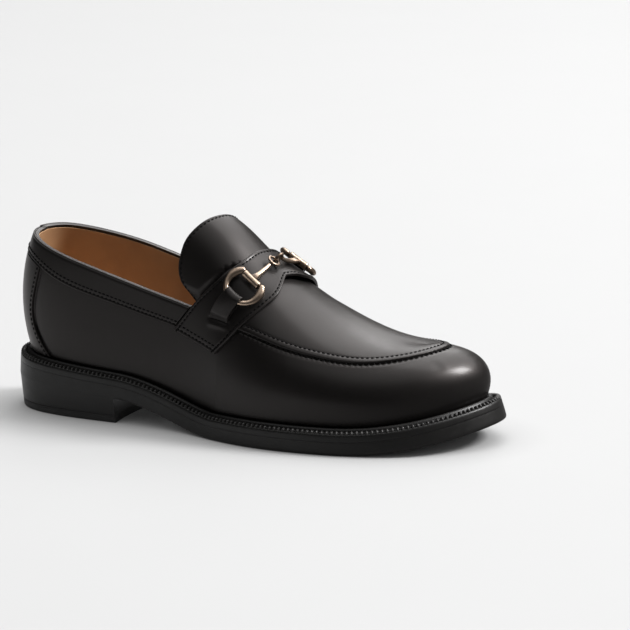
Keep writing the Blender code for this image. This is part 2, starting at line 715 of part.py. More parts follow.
def make_collar_band(material):
    """Band sewn round the collar, from one end of the strap round the heel to the other."""
    rows = []
    for share in np.linspace(0, 1, BAND_ROWS):
        first = collar_band_ends(0.29 + 0.16 * share, 1) - S_END
        final = collar_band_ends(0.29 + 0.13 * share, -1)
        s = np.linspace(first, final, BAND_STEPS)
        around = np.mod(s, S_END)
        low = first_crossing(around, band_z)
        rows.append((s, low + (top_edge_t(around) - low) * share))
    s = np.array([row[0] for row in rows])
    t = np.array([row[1] for row in rows])
    return thick_sheet("collar_band", raised(s, t, GAP + BAND_THICK), raised(s, t, GAP), material)


def make_backstay(material):
    """Strip up the back of the heel, from the welt to the collar band."""
    rows = []
    for share in np.linspace(0, 1, STAY_ROWS):
        t_edge = 0.02 + 0.37 * share
        spine_x = np.interp(t_edge, column(STAY, STAY_COLUMNS, "t"), column(STAY, STAY_COLUMNS, "spine_x"))
        s = np.linspace(rib_at(spine_x, 1) - S_END, rib_at(spine_x, -1), STAY_STEPS)
        high = first_crossing(np.mod(s, S_END), lambda x: band_z(x) - 2 * GAP)
        rows.append((s, 0.02 + (high - 0.02) * share))
    s = np.array([row[0] for row in rows])
    t = np.array([row[1] for row in rows])
    return thick_sheet("backstay", raised(s, t, GAP + BAND_THICK), raised(s, t, GAP), material)


# Metal bit. Places are given as spine_x, t and the height off the upper: the middle of the barrel and of
# the ring's bow on the lateral (-1) and medial (1) side, and the place near the spine where the eyes link.
# The barrel points along its turn, which is a step in the same three measures.
BARREL_AT = {-1: (179.2, 0.765, 5.9), 1: (176.5, 0.905, 6.2)}
RING_BOW_AT = {-1: (178.6, 0.613, 6.2), 1: (177.0, 0.75, 6.4)}
BARREL_TURN = (3.0, 0.015, 0.9)
EYES_AT = (172.0, 0.95, 5.5)
EYE_RISE = 1.5
BARREL_LENGTH = 12.6
BARREL_RADIUS = 2.3
BARREL_HOLE = 1.5
PIN_RADIUS = 1.1
RING_WIRE = 1.6
RING_HORN = 2.3
RING_HALF = 10.2
RING_DEPTH = 9.6
RING_END_TURN = math.radians(118)
EYE_RADIUS = 3.2
EYE_WIRE = 0.9
BAR_ROOT = 1.8
BAR_NECK = 1.0
BAR_ARCH = 0.8
SIDES = 8
RING_STEPS = 16


def unit(vector):
    return np.asarray(vector) / np.linalg.norm(vector)


def circle_loops(path, radii, upright, sides, closed):
    """Rings of points round a flat path, one ring for each of its points."""
    following = np.roll(path, -1, axis=0)
    before = np.roll(path, 1, axis=0)
    if not closed:
        following[-1] = path[-1] + (path[-1] - path[-2])
        before[0] = path[0] - (path[1] - path[0])
    loops = []
    for here, ahead, behind, radius in zip(path, following, before, radii):
        along = unit(unit(ahead - here) + unit(here - behind))
        side = unit(np.cross(upright, along))
        angle = np.arange(sides) * 2 * math.pi / sides
        loops.append(here + radius * (np.cos(angle)[:, None] * side + np.sin(angle)[:, None] * upright))
    return loops


def capped_rod(name, path, radii, upright, material):
    return flat_capped(name, circle_loops(path, radii, upright, SIDES, False), material)


def bit_frame(side):
    """Barrel centre, and directions out along the ring, along the barrel, and off the strap."""
    spine_x, t, height = BARREL_AT[side]
    barrel = raised(rib_at(spine_x, side), t, height)
    ahead = raised(rib_at(spine_x + BARREL_TURN[0], side), t + BARREL_TURN[1], height + BARREL_TURN[2])
    spine_x, t, height = RING_BOW_AT[side]
    bow = raised(rib_at(spine_x, side), t, height)
    out = unit(bow - barrel)
    along = ahead - barrel
    along = unit(along - out * np.dot(along, out))
    off = unit(np.cross(out, along)) * side
    return barrel, out, along, off, np.linalg.norm(bow - barrel)


def bow_point(side, turn):
    """Point on the middle of the ring's wire, by the turn from the middle of its bow to either end."""
    barrel, out, along, _, depth = bit_frame(side)
    return barrel + out * (depth - RING_DEPTH * (1 - math.cos(turn))) + along * RING_HALF * math.sin(turn)


def make_bit_ring(name, side, material):
    """Round ring: a bow with thick horns, closed by a thin pin that runs through the barrel."""
    barrel, _, along, off, _ = bit_frame(side)
    turns = np.linspace(-RING_END_TURN, RING_END_TURN, RING_STEPS - 1)
    bow = [bow_point(side, turn) for turn in turns]
    bow_radius = [RING_WIRE + (RING_HORN - RING_WIRE) * abs(turn / RING_END_TURN) ** 3 for turn in turns]
    pin = [barrel + along * (BARREL_LENGTH / 2 + reach) for reach in (2.0, -0.3, -4.4)]
    pin += [barrel - along * (BARREL_LENGTH / 2 + reach) for reach in (-4.4, -0.3, 2.0)]
    corner = PIN_RADIUS * 1.2
    path = np.array(bow + pin)
    radii = bow_radius + [corner] + [PIN_RADIUS] * (len(pin) - 2) + [corner]
    return ring_solid(name, circle_loops(path, radii, off, SIDES, True), material)


def join(thing, others):
    """Joins other closed shapes to an object, which then reads as one body."""
    for other in others:
        union = thing.modifiers.new(other.name, "BOOLEAN")
        union.operation = "UNION"
        union.object = other
        other.hide_render = True
        other.display_type = "WIRE"


def make_bit_bar(name, side, material):
    """Barrel on the ring's pin, with a tapered bar to an eye; the two eyes pass through each other."""
    barrel, out, along, off, _ = bit_frame(side)
    spine_x, t, height = EYES_AT
    middle = raised(rib_at(spine_x, -1), t, height)
    ridge_slope = unit(raised(rib_at(spine_x + 2, -1), t, height) - middle)
    across = np.array([0.0, side, 0.0])
    upright = unit(np.cross(ridge_slope, across)) * side
    eye = middle + across * EYE_RADIUS / 2
    eye_axis = upright
    if side > 0:
        eye = eye + upright * EYE_RISE
        eye_axis = ridge_slope
    tube = []
    for radius, place in ((BARREL_HOLE, -1), (BARREL_RADIUS, -1), (BARREL_RADIUS, 1), (BARREL_HOLE, 1)):
        centre = barrel + along * place * BARREL_LENGTH / 2
        angle = np.arange(SIDES) * 2 * math.pi / SIDES
        tube.append(centre + radius * (np.cos(angle)[:, None] * out + np.sin(angle)[:, None] * off))
    body = ring_solid(name, tube, material)
    root = barrel + unit(eye - barrel) * (BARREL_HOLE + 0.4)
    tip = eye - unit(eye - barrel) * EYE_RADIUS
    share = np.linspace(0, 1, 5)
    arch = BAR_ARCH * np.sin(math.pi * share)
    path = root + (tip - root) * share[:, None] + off * arch[:, None]
    radii = BAR_ROOT + (BAR_NECK - BAR_ROOT) * share
    rod = capped_rod(name + "_rod", path, radii, along, material)
    turn = np.arange(RING_STEPS) * 2 * math.pi / RING_STEPS
    first = unit(np.cross(eye_axis, np.cross(eye - barrel, eye_axis)))
    second = np.cross(eye_axis, first)
    loop = np.array([eye + EYE_RADIUS * (first * math.cos(a) + second * math.sin(a)) for a in turn])
    loops = circle_loops(loop, [EYE_WIRE] * len(turn), eye_axis, SIDES, True)
    ring = ring_solid(name + "_eye", loops, material)
    join(body, [rod, ring])
    return body


# Keeper: a folded band that holds the ring's bow to the strap, and goes in at a slit lower down.
KEEPER_THICK = 1.2
KEEPER_TURN = math.radians(27)
KEEPER_SLIT_AT = {-1: (176.0, 0.475), 1: (175.5, 0.612)}
KEEPER_SLIT_HALF = 2.9
KEEPER_TURN_STEPS = 6
KEEPER_RUN_STEPS = 4
KEEPER_ACROSS = 5


def place_on_upper(point, side):
    """Rib, t and height of a point that lies just off the upper, near the bit."""
    spine_x = np.linspace(168, 190, 221)
    t = np.linspace(0.5, 0.85, 281)
    away = np.linalg.norm(last_point(rib_at(spine_x, side)[:, None], t) - point, axis=-1)
    i, j = np.unravel_index(away.argmin(), away.shape)
    return spine_x[i], t[j], away[i, j]


def keeper_profile(slit_t, bow_t, bow_height, t_per_mm, extra):
    """One face of the folded band as t and height: up from the slit, round the wire, back to the slit."""
    base = GAP + STRAP_THICK
    reach = 1.2 * RING_WIRE + GAP + extra
    reach_in = 1.8 * RING_WIRE + GAP + extra
    under = base + GAP + (0 if extra else KEEPER_THICK)
    over = base + 2 * GAP + KEEPER_THICK + (KEEPER_THICK if extra else 0)
    run = np.linspace(0, 1, KEEPER_RUN_STEPS + 1)[:-1]
    turn = np.linspace(-math.pi / 2, math.pi / 2, KEEPER_TURN_STEPS + 1)
    t = [slit_t + (bow_t - slit_t) * f for f in run]
    height = [under + (bow_height - reach - under) * f for f in run]
    t += [bow_t + reach_in * math.cos(a) * t_per_mm for a in turn]
    height += [bow_height + reach * math.sin(a) for a in turn]
    t += [slit_t + (bow_t - slit_t) * f for f in run[::-1]]
    height += [over + (bow_height + reach - over) * f for f in run[::-1]]
    return np.array(t), np.array(height)


def make_keeper(name, side, material):
    slit_x, slit_t = KEEPER_SLIT_AT[side]
    t_per_mm = (BARREL_AT[side][1] - RING_BOW_AT[side][1]) / bit_frame(side)[4]
    faces = {KEEPER_THICK: [], 0.0: []}
    for share in np.linspace(-1, 1, KEEPER_ACROSS):
        bow_x, bow_t, bow_height = place_on_upper(bow_point(side, share * KEEPER_TURN), side)
        for extra, lines in faces.items():
            t, height = keeper_profile(slit_t, bow_t, bow_height, t_per_mm, extra)
            start_x = slit_x + share * KEEPER_SLIT_HALF
            spine_x = start_x + (bow_x - start_x) * np.clip((t - slit_t) / (bow_t - slit_t), 0, 1)
            lines.append(raised(rib_at(spine_x, side), t, height))
    outer, inner = [np.array(lines).swapaxes(0, 1) for lines in faces.values()]
    return thick_sheet(name, outer, inner, material)


# Middle of the finished shoe's outline, which becomes the origin.
ORIGIN = np.array([149.76, -2.99, 0.0])


def clear_scene():
    for thing in list(bpy.data.objects):
        bpy.data.objects.remove(thing, do_unlink=True)


def main():
    clear_scene()
    calf = finish("black calf", (0.012, 0.011, 0.011), 0.35)
    edge = finish("black sole edge", (0.014, 0.013, 0.013), 0.45)
    rubber = finish("black rubber", (0.015, 0.015, 0.015), 0.6)
    lining = finish("tan lining", (0.42, 0.24, 0.12), 0.55)
    metal = finish("antique bit metal", (0.36, 0.30, 0.26), 0.32, metallic=1.0)
    make_outsole(edge)
    make_welt(edge)
    make_insole(lining)
    make_heel(edge, rubber)
    make_upper(calf)
    make_tongue(calf)
    make_strap(calf)
    make_collar_band(calf)
    make_backstay(calf)
    for name, side in (("lateral", -1), ("medial", 1)):
        make_bit_ring("bit_ring_" + name, side, metal)
        make_bit_bar("bit_bar_" + name, side, metal)
        make_keeper("keeper_" + name, side, calf)


main()
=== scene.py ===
"""Looks of a snaffle-bit loafer, right shoe: calf upper with a sewn apron, saddle strap, metal bit and
a welted sole, on a pale studio floor.

Lengths are millimetres until a mesh is made. x runs from the back of the heel to the toe, y from the
outer (lateral, negative) side to the inner (medial) side, and z up from the floor. Everything on the
upper is placed on one function of two numbers: s goes round the feather line, where upper and sole
meet, and t goes from that line (0) over the side of the foot to the spine, the last's ridge line (1).
"""
import math

import bmesh
import bpy
import numpy as np
from mathutils import Matrix, Vector


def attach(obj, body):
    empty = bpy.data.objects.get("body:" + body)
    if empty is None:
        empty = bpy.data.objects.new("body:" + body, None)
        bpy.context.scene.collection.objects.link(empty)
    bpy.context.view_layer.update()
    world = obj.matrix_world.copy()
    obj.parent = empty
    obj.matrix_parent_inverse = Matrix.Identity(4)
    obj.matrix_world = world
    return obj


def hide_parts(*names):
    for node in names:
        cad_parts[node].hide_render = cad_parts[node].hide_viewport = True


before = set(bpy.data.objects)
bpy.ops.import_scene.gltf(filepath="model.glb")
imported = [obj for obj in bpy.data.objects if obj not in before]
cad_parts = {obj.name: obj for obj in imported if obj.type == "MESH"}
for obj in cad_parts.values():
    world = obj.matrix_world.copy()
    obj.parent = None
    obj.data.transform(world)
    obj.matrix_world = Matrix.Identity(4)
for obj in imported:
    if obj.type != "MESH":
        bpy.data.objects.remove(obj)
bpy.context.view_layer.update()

MM = 0.001
GAP = 0.3
ORIGIN = np.array([149.76, -2.99, 0.0])

# Sizes of the sole and the last, the same as the solids have
LENGTH = 300.0
HEEL_BREAST_X = 80.0
HEEL_BACK_HEIGHT = 19.6
HEEL_BREAST_HEIGHT = 14.3
FLAT_START_X = 149.0
FLAT_END_X = 222.0
TOE_SPRING = 12.6
OUTSOLE_THICK = 7.4
WELT_LEDGE = 12.2
FEATHER_LEVEL = WELT_LEDGE + GAP
TOP_LIFT_THICK = 4.6
UPPER_WALL = 2.0

# One row per station round the shoe. x, y: edge of the outsole. inset: from that edge in to the feather
# line. spine_x: where the rib that starts here meets the spine. bulge, bulge_h: how far the wall leans
# out, and where. shoulder, shoulder_h: where the rib turns over. crown: how flat it is at the spine.
STATION_COLUMNS = ("x", "y", "inset", "spine_x", "bulge", "bulge_h", "shoulder", "shoulder_h", "crown")
STATIONS = {
    "heel back": (0.0, 0.5, 8.6, 62.0, 12.0, 0.30, 1.12, 0.62, 0.70),
    "heel back lateral": (11.0, -23.7, 8.2, 72.0, 10.0, 0.30, 1.12, 0.62, 0.75),
    "heel lateral": (35.4, -34.8, 7.4, 92.0, 6.0, 0.30, 1.06, 0.62, 0.78),
    "heel breast lateral": (74.9, -38.0, 7.2, 128.0, 3.5, 0.32, 0.84, 0.60, 1.05),
    "waist lateral": (119.8, -41.4, 7.2, 162.0, 3.5, 0.35, 0.80, 0.58, 1.08),
    "ball rear lateral": (159.6, -52.4, 7.4, 184.0, 4.5, 0.38, 0.82, 0.60, 0.88),
    "ball lateral": (194.7, -56.2, 7.6, 204.0, 5.5, 0.42, 0.92, 0.68, 0.60),
    "toe rear lateral": (234.7, -51.2, 7.8, 228.0, 7.0, 0.45, 0.98, 0.76, 0.62),
    "toe lateral": (269.9, -36.7, 8.2, 245.0, 7.0, 0.45, 1.04, 0.80, 0.75),
    "toe corner lateral": (291.9, -13.8, 8.8, 253.0, 7.0, 0.45, 1.07, 0.80, 0.78),
    "toe tip": (300.0, 8.1, 9.2, 255.0, 7.0, 0.45, 1.07, 0.80, 0.78),
    "toe corner medial": (294.3, 27.2, 8.8, 253.0, 7.0, 0.45, 1.07, 0.80, 0.78),
    "toe medial": (275.1, 41.0, 8.2, 245.0, 7.0, 0.45, 1.04, 0.80, 0.75),
    "toe rear medial": (245.0, 48.5, 7.8, 229.0, 7.0, 0.45, 0.98, 0.76, 0.62),
    "ball medial": (215.0, 50.0, 7.6, 209.0, 5.5, 0.42, 0.96, 0.70, 0.70),
    "waist front medial": (175.0, 43.0, 7.4, 186.0, 4.5, 0.38, 0.88, 0.64, 0.98),
    "waist medial": (130.0, 31.0, 7.2, 163.0, 4.5, 0.35, 0.86, 0.60, 1.15),
    "heel breast medial": (80.0, 32.0, 7.2, 128.0, 4.5, 0.32, 0.88, 0.60, 1.10),
    "heel medial": (40.0, 34.5, 7.4, 92.0, 6.0, 0.30, 1.06, 0.62, 0.78),
    "heel back medial": (10.3, 24.7, 8.2, 72.0, 10.0, 0.30, 1.12, 0.62, 0.75),
}
SPINE_COLUMNS = ("x", "z")
SPINE = {
    "ankle back": (0.0, 140.0),
    "ankle": (70.0, 140.0),
    "leg front": (110.0, 130.0),
    "tongue top": (130.0, 121.0),
    "tongue": (145.0, 112.0),
    "throat": (160.0, 98.0),
    "instep": (191.0, 75.0),
    "vamp": (225.0, 59.3),
    "toe rear": (247.0, 54.2),
    "toe box": (268.0, 53.2),
    "toe front": (300.0, 52.0),
}
CENTRE_COLUMNS = ("x", "y")
CENTRE_LINE = {
    "heel": (0.0, 0.5),
    "heel front": (80.0, -0.5),
    "waist": (130.0, 0.0),
    "instep": (175.0, 0.5),
    "ball": (215.0, 1.2),
    "toe box": (255.0, 4.0),
    "toe": (300.0, 8.1),
}
COLLAR_COLUMNS = ("x", "z_lateral", "z_medial", "z_band")
COLLAR = {
    "back": (0.0, 104.0, 104.0, 91.5),
    "behind": (8.0, 102.9, 103.2, 90.8),
    "back side": (17.0, 101.0, 102.2, 89.0),
    "rear": (33.0, 96.2, 99.6, 81.5),
    "middle": (70.0, 86.0, 93.0, 70.0),
    "front": (94.0, 79.5, 87.0, 64.2),
    "strap": (128.0, 71.5, 78.0, 57.0),
    "under the strap": (150.0, 67.0, 73.0, 52.0),
}
THROAT_COLUMNS = ("spine_x", "t")
THROAT = {
    "collar end": (165.0, 0.42),
    "low": (168.0, 0.50),
    "middle": (170.5, 0.61),
    "high": (172.0, 0.74),
    "near the spine": (173.0, 0.88),
    "spine": (173.5, 1.0),
}
SEAM_COLUMNS = ("x", "z")
SEAM = {
    "under the strap": (130.0, 66.0),
    "rear": (163.0, 61.8),
    "instep": (191.0, 54.2),
    "ball": (211.0, 50.3),
    "front": (233.0, 48.1),
    "turn": (250.0, 49.2),
    "tip": (269.0, 52.4),
    "past the tip": (300.0, 58.0),
}
STAY_COLUMNS = ("t", "spine_x")
STAY = {
    "feather": (0.02, 87.5),
    "low": (0.10, 81.5),
    "waist": (0.20, 79.2),
    "high": (0.30, 81.3),
    "band": (0.45, 83.5),
}


def column(table, names, wanted):
    """One named column of a table, as an array."""
    place = names.index(wanted)
    return np.array([row[place] for row in table.values()])


def spline_bends(knots, values, closed):
    """Second derivatives of the cubic spline through the values, natural at its ends unless closed."""
    count = len(knots)
    step = np.diff(knots)
    if closed:
        size = count - 1
        matrix = np.zeros((size, size))
        right = np.zeros((size,) + values.shape[1:])
        for i in range(size):
            before = step[i - 1]
            after = step[i]
            matrix[i, (i - 1) % size] += before
            matrix[i, i] += 2 * (before + after)
            matrix[i, (i + 1) % size] += after
            right[i] = 6 * ((values[i + 1] - values[i]) / after
                            - (values[i] - values[i - 1 if i else size - 1]) / before)
        bends = np.linalg.solve(matrix, right)
        return np.concatenate([bends, bends[:1]])
    matrix = np.eye(count)
    right = np.zeros_like(values)
    for i in range(1, count - 1):
        matrix[i, i - 1:i + 2] = step[i - 1], 2 * (step[i - 1] + step[i]), step[i]
        right[i] = 6 * ((values[i + 1] - values[i]) / step[i] - (values[i] - values[i - 1]) / step[i - 1])
    return np.linalg.solve(matrix, right)


def spline(knots, values, closed=False):
    """A function that gives the smooth curve through the values at any knot position."""
    knots = np.asarray(knots, float)
    values = np.asarray(values, float)
    flat = values.ndim == 1
    if flat:
        values = values[:, None]
    bends = spline_bends(knots, values, closed)

    def at(where):
        where = np.asarray(where, float)
        if closed:
            where = knots[0] + np.mod(where - knots[0], knots[-1] - knots[0])
        i = np.clip(np.searchsorted(knots, where, side="right") - 1, 0, len(knots) - 2)
        width = (knots[i + 1] - knots[i])[..., None]
        a = ((knots[i + 1] - where)[..., None]) / width
        b = 1 - a
        curve = a * values[i] + b * values[i + 1]
        curve = curve + ((a ** 3 - a) * bends[i] + (b ** 3 - b) * bends[i + 1]) * width ** 2 / 6
        return curve[..., 0] if flat else curve

    return at


def table_curve(table, names, across, wanted):
    """The smooth curve of one column of a table over another."""
    return spline(column(table, names, across), column(table, names, wanted))


def station_knots():
    """Positions of the stations along s, by the root of the distance, which spaces turns evenly."""
    points = np.array([row[:2] for row in STATIONS.values()])
    gaps = np.linalg.norm(np.diff(np.vstack([points, points[:1]]), axis=0), axis=1)
    return np.concatenate([[0.0], np.cumsum(np.sqrt(gaps))])


KNOTS = station_knots()
STATION_ROWS = np.array(list(STATIONS.values()))
stations_at = spline(KNOTS, np.vstack([STATION_ROWS, STATION_ROWS[:1]]), closed=True)
S_TOE = KNOTS[list(STATIONS).index("toe tip")]
S_END = KNOTS[-1]
spine_z = table_curve(SPINE, SPINE_COLUMNS, "x", "z")
centre_y = table_curve(CENTRE_LINE, CENTRE_COLUMNS, "x", "y")
seam_z = table_curve(SEAM, SEAM_COLUMNS, "x", "z")
collar_z_lateral = table_curve(COLLAR, COLLAR_COLUMNS, "x", "z_lateral")
collar_z_medial = table_curve(COLLAR, COLLAR_COLUMNS, "x", "z_medial")
band_z = table_curve(COLLAR, COLLAR_COLUMNS, "x", "z_band")
stay_x = table_curve(STAY, STAY_COLUMNS, "t", "spine_x")
throat_x = table_curve(THROAT, THROAT_COLUMNS, "t", "spine_x")
THROAT_T = np.linspace(*column(THROAT, THROAT_COLUMNS, "t")[[0, -1]], 25)
THROAT_X = throat_x(THROAT_T)


def sole_profile(x):
    """Height and slope of the outsole's underside: heel seat, waist, flat forefoot, toe spring."""
    x = np.asarray(x, float)
    seat_slope = (HEEL_BREAST_HEIGHT - HEEL_BACK_HEIGHT) / HEEL_BREAST_X
    run = FLAT_START_X - HEEL_BREAST_X
    w = np.clip((x - HEEL_BREAST_X) / run, 0, 1)
    waist = (HEEL_BREAST_HEIGHT * (2 * w ** 3 - 3 * w ** 2 + 1)
             + seat_slope * run * (w ** 3 - 2 * w ** 2 + w))
    waist_slope = (HEEL_BREAST_HEIGHT * (6 * w ** 2 - 6 * w) / run
                   + seat_slope * (3 * w ** 2 - 4 * w + 1))
    q = np.clip((x - FLAT_END_X) / (LENGTH - FLAT_END_X), 0, None)
    spring = TOE_SPRING * q ** 2
    spring_slope = 2 * TOE_SPRING * q / (LENGTH - FLAT_END_X)
    heel = x < HEEL_BREAST_X
    height = np.where(heel, HEEL_BACK_HEIGHT + seat_slope * x, waist) + spring
    slope = np.where(heel, seat_slope, waist_slope) + spring_slope
    return height, slope


def on_sole(x, y, level):
    """A point at a level above the underside, measured square to it, as a bent sheet has it."""
    height, slope = sole_profile(x)
    tilt = np.arctan(slope)
    return np.stack([x - level * np.sin(tilt), y + 0 * x, height + level * np.cos(tilt)], axis=-1)


def edge_point(s, inward=0.0):
    """Plan position on the outsole's edge, or that far inside it."""
    step = 0.01
    here = stations_at(s)[..., :2]
    along = stations_at(s + step)[..., :2] - stations_at(s - step)[..., :2]
    along = along / np.linalg.norm(along, axis=-1, keepdims=True)
    inside = np.stack([-along[..., 1], along[..., 0]], axis=-1)
    return here + inside * np.asarray(inward)[..., None]


def sole_loop(s, inside, level):
    """Points round the sole, that far inside its edge and at a level above its underside."""
    plan = edge_point(s, inside)
    return on_sole(plan[..., 0], plan[..., 1], level)


def feather_inset(s):
    return stations_at(s)[..., STATION_COLUMNS.index("inset")]


def spine_x_at(s):
    return stations_at(s)[..., STATION_COLUMNS.index("spine_x")]


def last_point(s, t):
    """Outer face of the upper: a rib from the feather line at s, up and over to the spine."""
    s, t = np.broadcast_arrays(np.asarray(s, float), np.asarray(t, float))
    row = stations_at(s)
    spine_x, bulge, bulge_h, shoulder, shoulder_h, crown = np.moveaxis(row[..., 3:], -1, 0)
    foot = sole_loop(s, feather_inset(s), FEATHER_LEVEL)
    top = np.stack([spine_x, centre_y(spine_x)], axis=-1)
    out = foot[..., :2] - top
    reach = np.linalg.norm(out, axis=-1)
    out = out / reach[..., None]
    drop = spine_z(foot[..., 0]) - foot[..., 2]
    b = 1 - t
    mix = np.stack([b ** 4, 4 * b ** 3 * t, 6 * b ** 2 * t ** 2, 4 * b * t ** 3, t ** 4])
    far = mix[0] * reach + mix[1] * (reach + bulge) + mix[2] * reach * shoulder + mix[3] * reach * crown
    low = drop * (mix[0] + mix[1] * (1 - bulge_h) + mix[2] * (1 - shoulder_h))
    plan = top + out * far[..., None]
    return np.concatenate([plan, (spine_z(plan[..., 0]) - low)[..., None]], axis=-1)


def last_normal(s, t):
    """Outward direction of the upper's face."""
    s, t = np.broadcast_arrays(np.asarray(s, float), np.asarray(t, float))
    ds = 0.02
    dt = 0.004
    along = last_point(s + ds, t) - last_point(s - ds, t)
    up = last_point(s, np.minimum(t + dt, 1)) - last_point(s, np.maximum(t - dt, 0))
    normal = np.cross(along, up)
    spine_x = spine_x_at(s)
    slope = spine_z(spine_x + 0.5) - spine_z(spine_x - 0.5)
    ridge = np.stack([-slope, np.zeros_like(slope), np.ones_like(slope)], axis=-1)
    normal = np.where((t > 0.998)[..., None], ridge, normal)
    return normal / np.linalg.norm(normal, axis=-1, keepdims=True)


def raised(s, t, height):
    """A point of the upper's face, moved out by a height."""
    s, t = np.broadcast_arrays(s, t)
    return last_point(s, t) + last_normal(s, t) * (height + 0 * t)[..., None]


def first_crossing(s, height_at):
    """The t at which each rib first rises through a line given by its height over x, or 1."""
    fine = np.linspace(0.02, 1, 260)
    ribs = last_point(s[:, None], fine)
    over = ribs[..., 2] - height_at(ribs[..., 0])
    passed = (over[:, :-1] < 0) & (over[:, 1:] >= 0)
    first = passed.argmax(axis=1)
    each = np.arange(len(s))
    before = over[each, first]
    after = over[each, first + 1]
    found = fine[first] + (fine[first + 1] - fine[first]) * before / (before - after)
    return np.where(passed.any(axis=1), found, 1.0)


FINE_S = np.linspace(0, S_END, 1600)
FINE_LATERAL = FINE_S[FINE_S <= S_TOE]
FINE_MEDIAL = FINE_S[FINE_S >= S_TOE]


def rib_at(spine_x, side):
    """The s of the rib that meets the spine at spine_x, on the lateral (-1) or medial (1) side."""
    if side < 0:
        return np.interp(spine_x, spine_x_at(FINE_LATERAL), FINE_LATERAL)
    return np.interp(-np.asarray(spine_x), -spine_x_at(FINE_MEDIAL), FINE_MEDIAL)


def top_edge_t(s):
    """The t at which each rib ends: at the collar, at the throat, or on the spine in front of it."""
    ends = []
    for side, collar in ((-1, collar_z_lateral), (1, collar_z_medial)):
        start = first_crossing(np.array([rib_at(THROAT_X[0], side)]), collar)[0]
        climb = np.interp(spine_x_at(s), THROAT_X, THROAT_T)
        climb = 1 - (1 - climb) * (1 - start) / (1 - THROAT_T[0])
        ends.append(np.where(spine_x_at(s) <= THROAT_X[0], first_crossing(s, collar), climb))
    return np.where(s <= S_TOE, ends[0], ends[1])


TOP_T = top_edge_t(FINE_S)
BAND_LOW_T = first_crossing(FINE_S, band_z)


def round_the_shoe(values, s):
    """Values that are known at the fine ribs, looked up at any s, which may run past the heel back."""
    return np.interp(np.mod(s, S_END), FINE_S, values)


def smooth_step(share):
    share = np.clip(share, 0, 1)
    return share * share * (3 - 2 * share)


# Mesh making. Lengths below which points are welded and edges dropped are in metres.
BODY = "root"
WELD_DISTANCE = 0.000002
SLIVER_LENGTH = 0.0000002


def place(piece, slot, stands_for=()):
    """Puts a finished piece on the shoe and hides the parts that it stands for. slot: not used."""
    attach(piece, BODY)
    if stands_for:
        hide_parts(*stands_for)
    return piece


def add_object(name, data):
    """A new object in the scene, for a mesh, a light or a camera."""
    thing = bpy.data.objects.new(name, data)
    bpy.context.collection.objects.link(thing)
    return thing


def mesh_piece(name, points, faces, material, slot, stands_for=(), edge=None, sharp=40.0):
    """A closed piece from points in millimetres. edge: 1 at a cut edge of the leather, 0 away from it."""
    mesh = bpy.data.meshes.new(name)
    mesh.from_pydata((MM * (np.asarray(points) - ORIGIN)).tolist(), [], faces)
    mark = mesh.attributes.new("edge", "FLOAT", "POINT")
    if edge is not None:
        mark.data.foreach_set("value", np.asarray(edge, np.float32).ravel())
    body = bmesh.new()
    body.from_mesh(mesh)
    bmesh.ops.remove_doubles(body, verts=body.verts, dist=WELD_DISTANCE)
    bmesh.ops.dissolve_degenerate(body, edges=body.edges, dist=SLIVER_LENGTH)
    bmesh.ops.recalc_face_normals(body, faces=body.faces)
    body.to_mesh(mesh)
    body.free()
    mesh.materials.append(material)
    mesh.shade_smooth()
    mesh.set_sharp_from_angle(angle=math.radians(sharp))
    return place(add_object(name, mesh), slot, stands_for)


def grid_faces(rows, columns, start=0, wrap=False):
    """Quads of a grid of points that are numbered row by row."""
    faces = []
    for r in range(rows - 1):
        for c in range(columns if wrap else columns - 1):
            d = (c + 1) % columns
            a = start + r * columns
            faces.append((a + c, a + d, a + columns + d, a + columns + c))
    return faces


def loop_faces(first, second, columns):
    """Quads between two loops of points, by the numbers that the loops start at."""
    return [(first + c, first + (c + 1) % columns, second + (c + 1) % columns, second + c)
            for c in range(columns)]


def wall_faces(outer_rows, inner_rows, columns, rim):
    """Faces of a wall round the shoe: outer grid, inner grid, its foot, and its top where rim is true."""
    count = outer_rows * columns
    faces = grid_faces(outer_rows, columns, wrap=True)
    faces += [face[::-1] for face in grid_faces(inner_rows, columns, start=count, wrap=True)]
    outer_top = count - columns
    inner_top = count + (inner_rows - 1) * columns
    for c in range(columns):
        d = (c + 1) % columns
        faces.append((d, c, count + c, count + d))
        if rim[c] or rim[d]:
            faces.append((outer_top + c, outer_top + d, inner_top + d, inner_top + c))
    return faces


def sheet_faces(rows, columns):
    """Faces of a closed sheet: its outer grid, its inner grid, and the rim between them."""
    count = rows * columns
    faces = grid_faces(rows, columns)
    faces += [face[::-1] for face in grid_faces(rows, columns, start=count)]
    rim = list(range(columns))
    rim += [r * columns + columns - 1 for r in range(1, rows)]
    rim += [(rows - 1) * columns + c for c in range(columns - 2, -1, -1)]
    rim += [r * columns for r in range(rows - 2, 0, -1)]
    for a, b in zip(rim, rim[1:] + rim[:1]):
        faces.append((b, a, a + count, b + count))
    return faces


def run_lengths(points, axis):
    """Distance along the grid lines of one axis, from their start, at every point of a grid."""
    steps = np.linalg.norm(np.diff(points, axis=axis), axis=-1)
    zero = np.zeros_like(np.take(steps, [0], axis=axis))
    return np.concatenate([zero, np.cumsum(steps, axis=axis)], axis=axis)


# Distances from a cut edge, in millimetres, at which a sheet of leather has its close-set lines.
EDGE_STEPS = np.array([0.0, 0.06, 0.18, 0.36, 0.6, 0.9, 1.25, 1.65, 2.1, 2.6, 3.2])
# How far in from a cut edge the leather is marked as worn, and the size of a sewn channel.
EDGE_MARK = 0.8
CHANNEL_DEPTH = 0.22
CHANNEL_HALF = 0.4


def edge_shares(width, count):
    """Positions across a width, close together at both edges so that these can be rounded."""
    near = EDGE_STEPS / width
    inner = np.linspace(near[-1], 1 - near[-1], count + 2)[1:-1]
    return np.concatenate([near, inner, 1 - near[::-1]])


